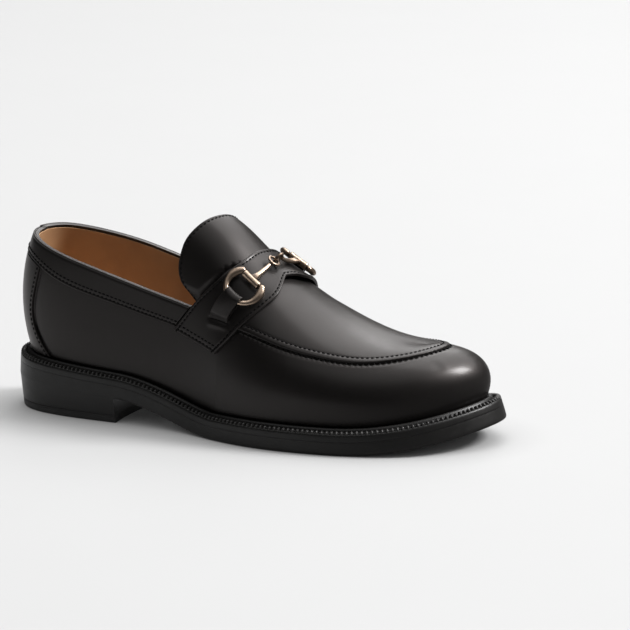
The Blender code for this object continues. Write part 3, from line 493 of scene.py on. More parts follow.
class Sheet:
    """A cut of leather that lies on the last, over a grid of ribs and heights on them.

    base is its underside's height off the upper's face. free names its cut edges: low and high are the
    grid's first and last row, start and end its first and last column. rounding is the radius of these
    edges, and channel the distance from them of a sewn channel."""

    def __init__(self, s, t, base, thick, free, rounding, channel, relief=0.0):
        self.s = s
        self.t = t
        under = raised(s, t, base)
        along_rows = run_lengths(under, 0)
        along_columns = run_lengths(under, 1)
        self.from_edge = {
            "low": along_rows,
            "high": along_rows[-1:] - along_rows,
            "start": along_columns,
            "end": along_columns[:, -1:] - along_columns,
        }
        nearest = np.min([self.from_edge[name] for name in free], axis=0)
        inside = np.clip(1 - nearest / rounding, 0, 1)
        self.height = base + thick - rounding * (1 - np.sqrt(1 - inside ** 2)) + relief
        self.height = self.height - CHANNEL_DEPTH * np.exp(-((nearest - channel) / CHANNEL_HALF) ** 2)
        self.under = under
        self.edge = np.clip(1 - nearest / EDGE_MARK, 0, 1)

    def piece(self, name, calf):
        """The sheet as a closed piece that stands for the node of its name."""
        points = np.concatenate([raised(self.s, self.t, self.height), self.under]).reshape(-1, 3)
        edge = np.concatenate([self.edge, self.edge])
        return mesh_piece(name, points, sheet_faces(*self.s.shape), calf, "calf", [name], edge)

    def row(self, edge, distance, trim=0.0):
        """A sewing line at a distance from one edge: its points and the directions off the leather."""
        grids = (self.from_edge[edge], self.s, self.t, self.height)
        lines = zip(*[grid if edge in ("start", "end") else grid.T for grid in grids])
        found = []
        for far, s, t, height in lines:
            order = np.argsort(far)
            found.append([np.interp(distance, far[order], value[order]) for value in (s, t, height)])
        s, t, height = np.array(found).T
        points = raised(s, t, height)
        length = run_lengths(points[None], 1)[0]
        keep = (length >= trim) & (length <= length[-1] - trim)
        return points[keep], last_normal(s, t)[keep]


# Upper
SEAM_PROFILE = (
    # distance from the seam up the rib, height: groove, cut edge of the apron, its sewn valley
    (-9.0, 0.0), (-6.0, 0.0), (-4.2, 0.05), (-3.2, 0.08), (-2.4, 0.0), (-1.7, -0.2), (-1.1, -0.45),
    (-0.6, -0.75), (-0.25, -0.85), (0.0, -0.6), (0.15, 0.1), (0.3, 0.6), (0.5, 0.9), (0.9, 1.05),
    (1.5, 1.1), (2.2, 1.08), (2.8, 1.0), (3.2, 0.86), (3.6, 0.74), (4.0, 0.80), (4.5, 0.88), (5.5, 0.9))
SEAM_FADE_X = (180.0, 183.0)
SEAM_SEWN_AT = 3.6
SEAM_SEWN_HEIGHT = dict(SEAM_PROFILE)[SEAM_SEWN_AT]
APRON_RISE = SEAM_PROFILE[-1][1]
PUCKER_PITCH = 3.1
PUCKER_HEIGHT = 0.45
PUCKER_BELOW = 1.2
PUCKER_SPREAD = 0.9
SEAM_UNDER_TOP_T = 0.12
T_STEP = 0.005
STAY_SPAN_X = (77.5, 90.0)
STAY_GROOVE_OFF = 0.5
STAY_GROOVE_HALF = 0.5
STAY_GROOVE_DEPTH = 0.8
WALL_ROWS = 20
CROWN_ROWS = 26
INNER_ROWS = 8
BACK_COLUMNS = 14
STAY_COLUMN_COUNT = 44
REAR_COLUMNS = 64
FRONT_COLUMNS = 250
LINING_ROWS = 16
LINING_FOOT_T = 0.035
LINING_TOP_T = 0.985
LINING_UNDER_EDGE_T = 0.012
LINING_BACK = 0.08
LINING_FACE = 0.58

# Soft troughs and ridges in the leather: spine_x and t of the middle, the side, half
# lengths in spine_x and in t, and the height, which is negative for a trough.
CREASES = {
    "hollow in front of the strap, lateral": (193.0, 0.72, -1, 4.0, 0.16, -0.35),
    "hollow in front of the strap, medial": (193.0, 0.72, 1, 4.0, 0.16, -0.35),
    "soft fold over the ball, lateral": (203.0, 0.40, -1, 2.2, 0.10, 0.18),
    "soft fold over the ball, medial": (206.0, 0.42, 1, 2.2, 0.10, 0.18),
    "dimple in the toe cap, lateral": (250.6, 0.60, -1, 0.9, 0.04, -0.30),
    "swell beside the dimple": (251.8, 0.60, -1, 0.7, 0.05, 0.18),
}


def creases(s, t):
    """Height that the troughs and ridges add to the upper's face."""
    height = np.zeros(np.broadcast(s, t).shape)
    spine_x = spine_x_at(s)
    on_side = np.where(s <= S_TOE, -1, 1)
    for mid_x, mid_t, side, half_x, half_t, size in CREASES.values():
        near = ((spine_x - mid_x) / half_x) ** 2 + ((t - mid_t) / half_t) ** 2
        height = height + size * np.exp(-near) * (on_side == side)
    return height


def stay_groove(s, t):
    """The groove in which the quarters meet the edges of the backstay, up to the collar band."""
    beside = spine_x_at(s) - stay_x(np.clip(t, STAY["feather"][0], STAY["band"][0])) - STAY_GROOVE_OFF
    return -STAY_GROOVE_DEPTH * np.exp(-(beside / STAY_GROOVE_HALF) ** 2) * (t < STAY["band"][0])


def upper_columns():
    """Ribs of the upper, close together at the backstay and the throat, paired to meet on the spine."""
    back = np.linspace(0, rib_at(STAY_SPAN_X[0], -1), BACK_COLUMNS)[:-1]
    stay = rib_at(np.linspace(*STAY_SPAN_X, STAY_COLUMN_COUNT), -1)
    rear = np.linspace(stay[-1], rib_at(THROAT_X[0], -1), REAR_COLUMNS)[1:]
    front = np.linspace(rib_at(THROAT_X[-1], -1), S_TOE, FRONT_COLUMNS)
    lateral = np.concatenate([back, stay, rear, rib_at(THROAT_X[1:-1], -1), front])
    medial = rib_at(spine_x_at(lateral[1:-1]), 1)
    return np.concatenate([lateral, medial[::-1]])


UPPER_S = upper_columns()
UPPER_TOP = top_edge_t(UPPER_S)
UPPER_SEAM = np.minimum(first_crossing(UPPER_S, seam_z), UPPER_TOP - SEAM_UNDER_TOP_T)
SEAM_SCALE = np.linalg.norm(last_point(UPPER_S, UPPER_SEAM + T_STEP)
                            - last_point(UPPER_S, UPPER_SEAM - T_STEP), axis=-1) / (2 * T_STEP)
SEAM_RIDGE = np.clip((spine_x_at(UPPER_S) - SEAM_FADE_X[0]) / (SEAM_FADE_X[1] - SEAM_FADE_X[0]), 0, 1)
SEAM_RUN = run_lengths(last_point(UPPER_S, UPPER_SEAM)[None], 1)[0]


def make_upper(calf):
    """The hollow upper: wall, gathered seam, rolled apron edge and crown, with a plain inner face."""
    s = UPPER_S
    low_end = UPPER_SEAM + SEAM_PROFILE[0][0] / SEAM_SCALE
    high_start = UPPER_SEAM + SEAM_PROFILE[-1][0] / SEAM_SCALE
    distances = np.array([d for d, _ in SEAM_PROFILE])
    fine = np.sort(np.concatenate([distances, (distances[1:] + distances[:-1]) / 2]))
    lift = np.interp(fine, distances, [h for _, h in SEAM_PROFILE])
    lift[1:-1] = (lift[:-2] + 2 * lift[1:-1] + lift[2:]) / 4
    gather = 0.5 - 0.5 * np.cos(2 * math.pi * SEAM_RUN / PUCKER_PITCH)
    rows = [(low_end * share, 0.0) for share in np.linspace(0, 1, WALL_ROWS)[:-1]]
    for distance, height in zip(fine, lift):
        pucker = PUCKER_HEIGHT * math.exp(-((distance + PUCKER_BELOW) / PUCKER_SPREAD) ** 2) * gather
        rows.append((UPPER_SEAM + distance / SEAM_SCALE, (height + pucker) * SEAM_RIDGE))
    shares = np.linspace(0, 1, CROWN_ROWS + 1)[1:]
    for share in shares:
        rise = APRON_RISE * (1 - smooth_step(share))
        rows.append((high_start + (UPPER_TOP - high_start) * share, rise * SEAM_RIDGE))
    outer = np.array([raised(s, t, height + creases(s, t) + stay_groove(s, t)) for t, height in rows])
    inner_shares = np.linspace(0, 1, INNER_ROWS)
    inner = np.array([raised(s, UPPER_TOP * share, -UPPER_WALL) for share in inner_shares])
    faces = wall_faces(len(rows), len(inner), len(s), UPPER_TOP < 1)
    points = np.concatenate([outer.reshape(-1, 3), inner.reshape(-1, 3)])
    return mesh_piece("upper", points, faces, calf, "calf", ["upper"])


def make_lining(leather):
    """Leather lining against the inside of the upper, down to the insole."""
    s = UPPER_S[::2]
    top = np.minimum(UPPER_TOP[::2] - LINING_UNDER_EDGE_T, LINING_TOP_T)
    shares = np.linspace(0, 1, LINING_ROWS)[:, None]
    t = LINING_FOOT_T + (top - LINING_FOOT_T) * shares
    face = raised(s, t, -UPPER_WALL - LINING_FACE)
    back = raised(s, t, -UPPER_WALL - LINING_BACK)
    faces = wall_faces(LINING_ROWS, LINING_ROWS, len(s), np.full(len(s), True))
    points = np.concatenate([back.reshape(-1, 3), face.reshape(-1, 3)])
    return mesh_piece("lining", points, faces, leather, "lining")


# Overlays across the instep
# across: 0 on the lateral feather line, 1 on the spine and 2 on the medial feather line.
# rear, front: the x of the piece's edges there. lift: how far its front edge stands off the apron.
STRAP_COLUMNS = ("across", "rear", "front", "lift")
STRAP = {
    "end": (0.282, 118.3, 148.5, 0.0),
    "above the end": (0.393, 127.4, 157.1, 0.0),
    "slit": (0.47, 133.6, 161.7, 0.0),
    "keeper": (0.573, 142.0, 167.8, 0.0),
    "ring": (0.70, 149.6, 174.0, 0.3),
    "bar": (0.84, 155.4, 177.3, 1.0),
    "notch": (0.945, 157.6, 174.4, 2.2),
    "spine": (1.00, 158.8, 176.9, 2.5),
    "past the spine": (1.045, 159.2, 179.3, 2.4),
    "medial bar": (1.16, 158.4, 179.8, 1.4),
    "medial ring": (1.30, 154.1, 177.8, 0.3),
    "medial keeper": (1.427, 147.4, 173.8, 0.0),
    "medial slit": (1.53, 139.2, 168.7, 0.0),
    "above the medial end": (1.607, 133.0, 164.4, 0.0),
    "medial end": (1.718, 123.9, 155.4, 0.0),
}
STRAP_THICK = 1.8
STRAP_LIFT_BEND = 2.2
STRAP_SIZE = (25.0, 170.0)
STRAP_LINES = (26, 171)
STRAP_ROUNDING = 0.7
TONGUE_COLUMNS = ("across", "rear", "front")
TONGUE = {
    "low edge": (0.448, 129.6, 177.0),
    "side": (0.49, 122.5, 178.0),
    "widest": (0.552, 118.7, 180.0),
    "upper side": (0.62, 119.2, 182.0),
    "shoulder": (0.70, 121.2, 184.0),
    "corner": (0.78, 124.8, 186.5),
    "top": (0.88, 129.4, 189.5),
    "spine": (1.00, 134.0, 192.0),
    "medial top": (1.09, 135.2, 191.0),
    "medial corner": (1.20, 131.8, 187.5),
    "medial shoulder": (1.30, 127.5, 184.5),
    "medial widest": (1.448, 124.5, 180.5),
    "medial side": (1.51, 128.0, 179.0),
    "medial low edge": (1.552, 135.1, 178.0),
}
TONGUE_THICK = 2.2
TONGUE_SIZE = (58.0, 124.0)
TONGUE_LINES = (44, 121)
TONGUE_ROUNDING = 0.9
TONGUE_UNDER_WALL = 2.4 * GAP
TONGUE_CLEAR_T = 0.03
TONGUE_RISE_START = -3.0
TONGUE_RISE_RUN = 3.0
TONGUE_RISE_T = 0.06
RIB_SAMPLES = np.linspace(110, 215, 421)
EDGE_ROW = 2.0
KEEPER_SLIT_AT = {-1: (176.0, 0.457), 1: (175.5, 0.594)}
KEEPER_SLIT_HALF = 3.3
KEEPER_SLIT_SLANT = 0.018
# Relief at a slit. cut: depth, and half width in t. swell: height, how far below the cut, half width in t.
SLIT_REACH = 1.15
SLIT_CUT = (0.8, 0.007)
SLIT_SWELL = (0.4, 0.03, 0.014)


def height_on_rib(across):
    return 1 - np.abs(1 - across)


def rib_through(x, place):
    """The s of the rib whose point at one place across the instep lies at x."""
    ribs = rib_at(RIB_SAMPLES, -1 if place <= 1 else 1)
    return np.interp(x, last_point(ribs, height_on_rib(place))[:, 0], ribs)


def across_curve(table, names, wanted, corner=None):
    """A column over the places across, smooth, or in two smooth runs that meet at a corner row."""
    places = column(table, names, "across")
    values = column(table, names, wanted)
    if corner is None:
        return spline(places, values)
    turn = list(table).index(corner)
    near = spline(places[:turn + 1], values[:turn + 1])
    far = spline(places[turn:], values[turn:])
    return lambda across: np.where(across <= places[turn], near(across), far(across))


def crossing_grid(table, names, size, counts, corner=None):
    """Ribs, places across and shares of the width of a piece that lies over the instep.

    size: its width and its length across. counts: grid lines inside its edges, in both directions."""
    start = column(table, names, "across")[0]
    across = start + (2 - 2 * start) * edge_shares(size[1], counts[1])
    if corner is not None:
        across = np.sort(np.append(across, table[corner][0]))
    rear = across_curve(table, names, "rear")(across)
    front = across_curve(table, names, "front", corner)(across)
    share = edge_shares(size[0], counts[0])[:, None]
    x = rear + (front - rear) * share
    s = np.stack([rib_through(x[:, k], place) for k, place in enumerate(across)], axis=1)
    return s, np.broadcast_to(across, s.shape), np.broadcast_to(share, s.shape)


def slit_relief(s, across):
    """The slits that the keepers go in at: a cut, and the swell of the keeper's end below it."""
    t = height_on_rib(across)
    relief = np.zeros(s.shape)
    for side, (slit_x, slit_t) in KEEPER_SLIT_AT.items():
        place = (spine_x_at(s) - slit_x) / KEEPER_SLIT_HALF
        beside = np.exp(-(place / SLIT_REACH) ** 6)
        above = t - slit_t - KEEPER_SLIT_SLANT * place
        swell = SLIT_SWELL[0] * np.exp(-((above + SLIT_SWELL[1]) / SLIT_SWELL[2]) ** 2)
        cut = -SLIT_CUT[0] * np.exp(-(above / SLIT_CUT[1]) ** 2)
        relief = relief + (swell + cut) * beside * (np.sign(across - 1) == side)
    return relief


def strap_sheet():
    """Saddle strap, standing off the apron along its notched front edge, cut for the keepers."""
    s, across, share = crossing_grid(STRAP, STRAP_COLUMNS, STRAP_SIZE, STRAP_LINES, "notch")
    lift = across_curve(STRAP, STRAP_COLUMNS, "lift")(across)
    base = GAP + np.maximum(lift, 0) * share ** STRAP_LIFT_BEND
    free = ("low", "high", "start", "end")
    return Sheet(s, height_on_rib(across), base, STRAP_THICK, free, STRAP_ROUNDING, EDGE_ROW,
                 slit_relief(s, across))


def tongue_sheet():
    """Tongue: under the wall in front of the throat, and level with the wall's face behind it."""
    s, across, _ = crossing_grid(TONGUE, TONGUE_COLUMNS, TONGUE_SIZE, TONGUE_LINES)
    t = height_on_rib(across)
    behind = throat_x(np.maximum(t, THROAT_T[0])) - TONGUE_RISE_START - spine_x_at(s)
    above = t - round_the_shoe(TOP_T, s) - TONGUE_CLEAR_T
    free = smooth_step(behind / TONGUE_RISE_RUN) * smooth_step(above / TONGUE_RISE_T)
    low = -UPPER_WALL - TONGUE_UNDER_WALL
    top = low + (-GAP - low) * free
    return Sheet(s, t, top - TONGUE_THICK, TONGUE_THICK, ("low", "start", "end"), TONGUE_ROUNDING, EDGE_ROW)


# Overlays of the back
BAND_THICK = 1.0
BAND_STEPS = 420
BAND_WIDTH = 13.5
BAND_LINES = 8
BAND_ROUNDING = 0.6
BAND_ROWS = (1.5, 3.6)
BAND_END_T = 0.29
BAND_END_RISE = {1: 0.16, -1: 0.13}
STAY_WIDTH = 30.0
STAY_LINES = 20
STAY_ROUNDING = 0.35
STAY_STEPS = 60
STAY_ROW = 1.5
STAY_FOOT_T = 0.02
STAY_REACH_T = 0.37


def under_band_z(x):
    return band_z(x) - 2 * GAP


def collar_band_ends(t, side):
    """The rib at which the collar band stops, just behind the strap."""
    place = 1 + side * (1 - t)
    return rib_through(across_curve(STRAP, STRAP_COLUMNS, "rear")(place) - 2 * GAP, place)


def band_sheet():
    """Band sewn round the collar, from one end of the strap round the heel to the other."""
    shares = edge_shares(BAND_WIDTH, BAND_LINES)
    s = []
    for share in shares:
        first = collar_band_ends(BAND_END_T + BAND_END_RISE[1] * share, 1) - S_END
        final = collar_band_ends(BAND_END_T + BAND_END_RISE[-1] * share, -1)
        s.append(np.linspace(first, final, BAND_STEPS))
    s = np.array(s)
    low = round_the_shoe(BAND_LOW_T, s)
    t = low + (round_the_shoe(TOP_T, s) - low) * shares[:, None]
    return Sheet(s, t, GAP + 0 * s, BAND_THICK, ("low", "high"), BAND_ROUNDING, BAND_ROWS[0])


def backstay_sheet():
    """Strip up the back of the heel, from the welt to the collar band."""
    shares = np.linspace(0, 1, STAY_STEPS)
    s = []
    for share in shares:
        spine_x = stay_x(STAY_FOOT_T + STAY_REACH_T * share)
        first = rib_at(spine_x, 1) - S_END
        s.append(first + (rib_at(spine_x, -1) - first) * edge_shares(STAY_WIDTH, STAY_LINES))
    s = np.array(s)
    high = round_the_shoe(first_crossing(FINE_S, under_band_z), s)
    t = STAY_FOOT_T + (high - STAY_FOOT_T) * shares[:, None]
    return Sheet(s, t, GAP + 0 * s, BAND_THICK, ("start", "end"), STAY_ROUNDING, STAY_ROW)


# Sole
SOLE_COLUMNS = 420


def ring_columns(pair_by, count):
    """Positions round the shoe whose lateral and medial halves pair up by a value that they share."""
    lateral = np.linspace(0, S_TOE, count + 1)
    shared = pair_by(lateral)
    order = FINE_MEDIAL[::-1]
    medial = np.interp(shared[1:-1], pair_by(order), order)
    return np.concatenate([lateral, medial[::-1]])


def ladder_cap(start, half):
    """Faces across a loop whose two halves pair up, from its first point to its middle one."""
    total = 2 * half
    faces = [(start, start + 1, start + total - 1)]
    for k in range(1, half - 1):
        faces.append((start + k, start + k + 1, start + total - k - 1, start + total - k))
    faces.append((start + half - 1, start + half, start + half + 1))
    return faces


# Edge of the outsole, from its underside up: distance inside the widest line, and level. The rows of the
# round run straight down over the heel, where the heel's block goes on below them.
OUTSOLE_EDGE = (
    (9.0, 0.0), (6.4, 0.0), (6.1, 0.35), (5.7, 0.35), (5.4, 0.0), (2.2, 0.0), (1.5, 0.04), (0.95, 0.2),
    (0.5, 0.5), (0.2, 0.95), (0.05, 1.5), (0.0, 2.1), (0.0, 3.4), (0.0, 4.8), (0.0, 6.2), (0.0, 7.2),
    (0.04, OUTSOLE_THICK + 0.9 * GAP), (2.5, OUTSOLE_THICK + 0.9 * GAP))
OUTSOLE_ROUND = 2.2


def make_outsole(dressing):
    s = ring_columns(lambda at: edge_point(at)[:, 0], SOLE_COLUMNS // 2)
    ahead_of_heel = smooth_step((edge_point(s)[:, 0] - HEEL_BREAST_X) / 5.0)
    loops = []
    for inside, level in OUTSOLE_EDGE:
        share = ahead_of_heel if inside <= OUTSOLE_ROUND and level < OUTSOLE_ROUND else 1.0
        loops.append(sole_loop(s, inside * share, level))
    rows, columns = len(loops), len(s)
    faces = grid_faces(rows, columns, wrap=True)
    faces += [face[::-1] for face in ladder_cap(0, columns // 2)]
    faces += ladder_cap((rows - 1) * columns, columns // 2)
    return mesh_piece("outsole", np.concatenate(loops), faces, dressing, "sole_edge", ["outsole"], sharp=50)


# Section of the welt. from_edge: measured in from the outsole's edge, otherwise out from the feather
# line. The ledge carries the upper, the bead stands beside it, and the outer band takes the ribs.
WELT_SECTION = (
    # from_edge, distance, level
    (False, -2.0, OUTSOLE_THICK + GAP), (True, 0.15, OUTSOLE_THICK + GAP), (True, 0.05, 7.8),
    (True, 0.05, 8.8), (True, 0.05, 10.0), (True, 0.08, 10.8), (True, 0.2, 11.3), (True, 0.45, 11.7),
    (True, 0.8, 11.95), (True, 1.2, 12.0), (True, 1.8, 12.0), (False, 5.2, 12.0),
    (False, 4.8, 12.2), (False, 4.55, 12.8), (False, 4.4, 13.4), (False, 4.15, 13.9), (False, 3.8, 14.25),
    (False, 3.35, 14.48), (False, 2.9, 14.55), (False, 2.4, 14.45), (False, 2.0, 14.15),
    (False, 1.7, 13.6), (False, 1.5, 12.9), (False, 1.5, WELT_LEDGE), (False, -2.0, WELT_LEDGE))
WELT_COLUMNS = 640
RIB_ACROSS = 4.4
RIB_PROUD = 0.25
RIB_LEVEL = 12.2
RIB_SIZES = {"Pitch": 2.8, "Across": RIB_ACROSS, "Thick": 2.1, "Rise": 3.6}


def make_welt(dressing):
    s = ring_columns(spine_x_at, WELT_COLUMNS // 2)
    loops = []
    for from_edge, distance, level in WELT_SECTION:
        inside = distance if from_edge else feather_inset(s) - distance
        loops.append(sole_loop(s, inside, level))
    rows, columns = len(loops), len(s)
    faces = grid_faces(rows, columns, wrap=True)
    faces += loop_faces((rows - 1) * columns, 0, columns)
    return mesh_piece("welt", np.concatenate(loops), faces, dressing, "sole_edge", ["welt"], sharp=50)


def welt_rib_path():
    """Middle of the welt's ribs, which reach its outer edge, with directions off it and across it."""
    s = np.append(ring_columns(spine_x_at, WELT_COLUMNS // 2), S_END)
    outer = edge_point(s)
    inside = RIB_ACROSS / 2 - RIB_PROUD
    points = sole_loop(s, inside, RIB_LEVEL)
    off = sole_loop(s, inside, RIB_LEVEL + 1) - points
    across = np.column_stack([outer - edge_point(s, inside), np.zeros(len(s))])
    return points, off, across


# Heel: distance inside the outsole's edge at its top and at the floor, and the hollow of its front.
HEEL_TOP_INSET = 0.05
HEEL_FOOT_INSET = 1.6
HEEL_FRONT_HOLLOW = 3.0
# Levels of the stack: share of its height, and a further inset. Levels of the lift: inset and height.
STACK_LEVELS = ((0.0, 0.15), (0.012, 0.0), (0.04, 0.0), (0.35, 0.0), (0.65, 0.0), (0.96, 0.0), (1.0, 0.0))
LIFT_TOP = TOP_LIFT_THICK - 0.03
LIFT_LEVELS = ((0.9, 0.0), (0.45, 0.1), (0.15, 0.35), (0.0, 0.8), (0.0, LIFT_TOP - 0.15), (0.15, LIFT_TOP))


def heel_loop(inside, height_at):
    """Plan loop of the heel at one level, with its front hollowed to an arc."""
    corners = []
    for start, end, turn in ((0, S_TOE, 1), (S_TOE, S_END, -1)):
        side = np.linspace(start, end, 400)
        plan = edge_point(side, inside)
        corners.append(np.interp(turn * HEEL_BREAST_X, turn * plan[:, 0], side))
    around = np.concatenate([np.linspace(corners[1], S_END, 90), np.linspace(0, corners[0], 90)[1:]])
    plan = edge_point(around, inside)
    across = np.linspace(1, -1, 61)[1:-1][::-1]
    middle = (plan[0] + plan[-1]) / 2
    half = (plan[0] - plan[-1]) / 2
    hollow = np.column_stack([HEEL_FRONT_HOLLOW * (1 - across ** 2), 0 * across])
    front = middle + half * across[:, None] - hollow
    loop = np.concatenate([plan, front])
    return np.column_stack([loop, height_at(loop[:, 0])])


def heel_block(name, levels, material, slot):
    """A block of the heel from its levels upwards: distance inside the edge, and height over x."""
    loops = [heel_loop(inside, height_at) for inside, height_at in levels]
    rows, columns = len(loops), len(loops[0])
    faces = grid_faces(rows, columns, wrap=True)
    faces.append(tuple(range(columns))[::-1])
    faces.append(tuple((rows - 1) * columns + c for c in range(columns)))
    return mesh_piece(name, np.concatenate(loops), faces, material, slot, [name], sharp=50)


def heel_seat(x):
    return sole_profile(np.minimum(x, HEEL_BREAST_X))[0] - 0.02


def heel_level(share):
    """Height over x of a level of the heel stack, from its foot (0) to the seat (1)."""
    return lambda x: TOP_LIFT_THICK + (heel_seat(x) - TOP_LIFT_THICK) * share


def flat_level(height):
    return lambda x: np.full(x.shape, height)


def heel_inset(height):
    return HEEL_FOOT_INSET + (HEEL_TOP_INSET - HEEL_FOOT_INSET) * height / HEEL_BACK_HEIGHT


def make_heel(dressing, rubber):
    """Heel block, flush with the outsole, and the lift under it behind a fine line."""
    foot = heel_inset(TOP_LIFT_THICK)
    stack = [(foot + (HEEL_TOP_INSET - foot) * share + inset, heel_level(share))
             for share, inset in STACK_LEVELS]
    heel_block("heel_stack", stack, dressing, "sole_edge")
    lift = [(heel_inset(height) + inset, flat_level(height)) for inset, height in LIFT_LEVELS]
    heel_block("heel_top_lift", lift, rubber, "rubber")


# Metal bit. Places are spine_x, t and the height off the upper on the lateral (-1) and medial (1) side.
BARREL_AT = {-1: (179.2, 0.765, 5.9), 1: (176.5, 0.905, 6.2)}
RING_BOW_AT = {-1: (178.6, 0.613, 6.2), 1: (177.0, 0.75, 6.4)}
BARREL_TURN = (3.0, 0.015, 0.9)
EYES_AT = (172.0, 0.95, 5.5)
EYE_RISE = 1.5
BAR_ARCH = 0.8
BARREL_LENGTH = 12.0
RING_WIRE = 1.4
RING_HORN = 2.35
RING_FLATNESS = 0.8
RING_HALF = 10.2
RING_DEPTH = 9.6
RING_END_TURN = math.radians(132)
RING_HORN_TURN = math.radians(106)
RING_HORN_SPREAD = math.radians(34)
RING_TIP = 1.6
PIN_HALF = 7.6
PIN_RADIUS = 1.1
EYE_RADIUS = 3.2
EYE_WIRE = 0.85
EYE_STEPS = 40
BIT_SIDES = 20
BOW_STEPS = 69
TIP_STEPS = 8
TIP_POINT = 0.12
PIN_STEPS = 9
BAR_ROOT = 1.2
BAR_INTO_EYE = 0.3
# Dark recess on the ring's horns, and on the eye: all round, and more on the side away from the bar.
HORN_RECESS = 0.25
EYE_RECESS = (0.15, 0.5)

# Profile of the barrel, from its end to its middle: distance from the end, radius, and dark recess.
BARREL_PROFILE = ((0.0, 1.2, 1.0), (0.02, 1.7, 0.9), (0.2, 2.0, 0.5), (0.5, 2.15, 0.0), (1.0, 2.18, 0.0),
                  (1.5, 2.12, 0.0), (2.2, 2.06, 0.1), (4.0, 2.05, 0.05), (6.3, 2.05, 0.1))
# Profile of the bar, from the barrel to the eye: share of its length, half width, half thickness, recess.
BAR_PROFILE = ((0.0, 3.0, 1.8, 1.0), (0.08, 2.4, 1.7, 0.7), (0.2, 1.85, 1.5, 0.25), (0.3, 1.65, 1.4, 0.1),
               (0.4, 1.5, 1.3, 0.0), (0.52, 1.4, 1.22, 0.0), (0.65, 1.3, 1.15, 0.0), (0.75, 1.22, 1.08, 0.0),
               (0.85, 1.15, 1.0, 0.1), (1.0, 1.25, 0.9, 0.5))


def unit(vector):
    return np.asarray(vector) / np.linalg.norm(vector)


def bit_frame(side):
    """Barrel centre, and directions out along the ring, along the barrel, and off the strap."""
    spine_x, t, height = BARREL_AT[side]
    barrel = raised(rib_at(spine_x, side), t, height)
    ahead = raised(rib_at(spine_x + BARREL_TURN[0], side), t + BARREL_TURN[1], height + BARREL_TURN[2])
    spine_x, t, height = RING_BOW_AT[side]
    bow = raised(rib_at(spine_x, side), t, height)
    out = unit(bow - barrel)
    along = ahead - barrel
    along = unit(along - out * np.dot(along, out))
    off = unit(np.cross(out, along)) * side
    return barrel, out, along, off, np.linalg.norm(bow - barrel)


def bow_point(side, turn):
    """Point on the middle of the ring's wire, by the turn from the middle of its bow to either end."""
    barrel, out, along, _, depth = bit_frame(side)
    return barrel + out * (depth - RING_DEPTH * (1 - math.cos(turn))) + along * RING_HALF * math.sin(turn)


class Casting:
    """Points, faces and recess marks of a metal piece that is put together from turned shapes."""

    def __init__(self):
        self.points = []
        self.faces = []
        self.recess = []
        self.count = 0

    def loft(self, loops, recess, closed=False):
        """Skins a row of loops, round to the first again or with a point at each end."""
        rows, columns = len(loops), len(loops[0])
        start = self.count
        self.faces += grid_faces(rows, columns, start=start, wrap=True)
        self.points += [np.asarray(loop) for loop in loops]
        self.recess += [np.full(columns, mark) for mark in recess]
        self.count += rows * columns
        last = start + (rows - 1) * columns
        if closed:
            self.faces += loop_faces(last, start, columns)
        else:
            self.faces.append(tuple(range(start, start + columns))[::-1])
            self.faces.append(tuple(range(last, last + columns)))

    def rod(self, path, widths, thicks, upright, recess, closed=False):
        """A rod along a path, with its own half width and half thickness at each point."""
        path = np.asarray(path)
        ahead = np.roll(path, -1, axis=0)
        behind = np.roll(path, 1, axis=0)
        if not closed:
            ahead[-1] = 2 * path[-1] - path[-2]
            behind[0] = 2 * path[0] - path[1]
        angle = np.arange(BIT_SIDES) * 2 * math.pi / BIT_SIDES
        loops = []
        for here, forward, back, wide, thick in zip(path, ahead, behind, widths, thicks):
            tangent = unit(unit(forward - here) + unit(here - back))
            across = unit(np.cross(upright, tangent))
            up = np.cross(tangent, across)
            loops.append(here + wide * np.cos(angle)[:, None] * across + thick * np.sin(angle)[:, None] * up)
        self.loft(loops, recess, closed)

    def piece(self, name, metal, stands_for):
        return mesh_piece(name, np.concatenate(self.points), self.faces, metal, "bit_metal", stands_for,
                          np.concatenate(self.recess), sharp=60)


def make_bit_ring(name, side, metal):
    """Ring: a round bow with egg-shaped horns, and the pin that carries the barrel."""
    barrel, _, along, off, _ = bit_frame(side)
    bow = []
    for turn in np.linspace(-RING_END_TURN, RING_END_TURN, BOW_STEPS):
        horn = math.exp(-((abs(turn) - RING_HORN_TURN) / RING_HORN_SPREAD) ** 2)
        radius = RING_WIRE + (RING_HORN - RING_WIRE) * horn
        bow.append((bow_point(side, turn), radius, HORN_RECESS * horn ** 3))
    ends = []
    for (here, radius, mark), (before, _, _) in ((bow[0], bow[1]), (bow[-1], bow[-2])):
        onward = unit(here - before)
        tip = []
        for turn in np.linspace(0, math.pi / 2, TIP_STEPS)[1:]:
            reach = onward * RING_TIP * math.sin(turn)
            tip.append((here + reach, max(TIP_POINT, radius * math.cos(turn)), mark))
        ends.append(tip)
    points, radii, recess = zip(*(ends[0][::-1] + bow + ends[1]))
    cast = Casting()
    cast.rod(points, radii, RING_FLATNESS * np.array(radii), off, recess)
    pin = [barrel + along * PIN_HALF * share for share in np.linspace(-1, 1, PIN_STEPS)]
    radii = [PIN_RADIUS] * PIN_STEPS
    cast.rod(pin, radii, radii, off, [1.0] * PIN_STEPS)
    return cast.piece(name, metal, [name])


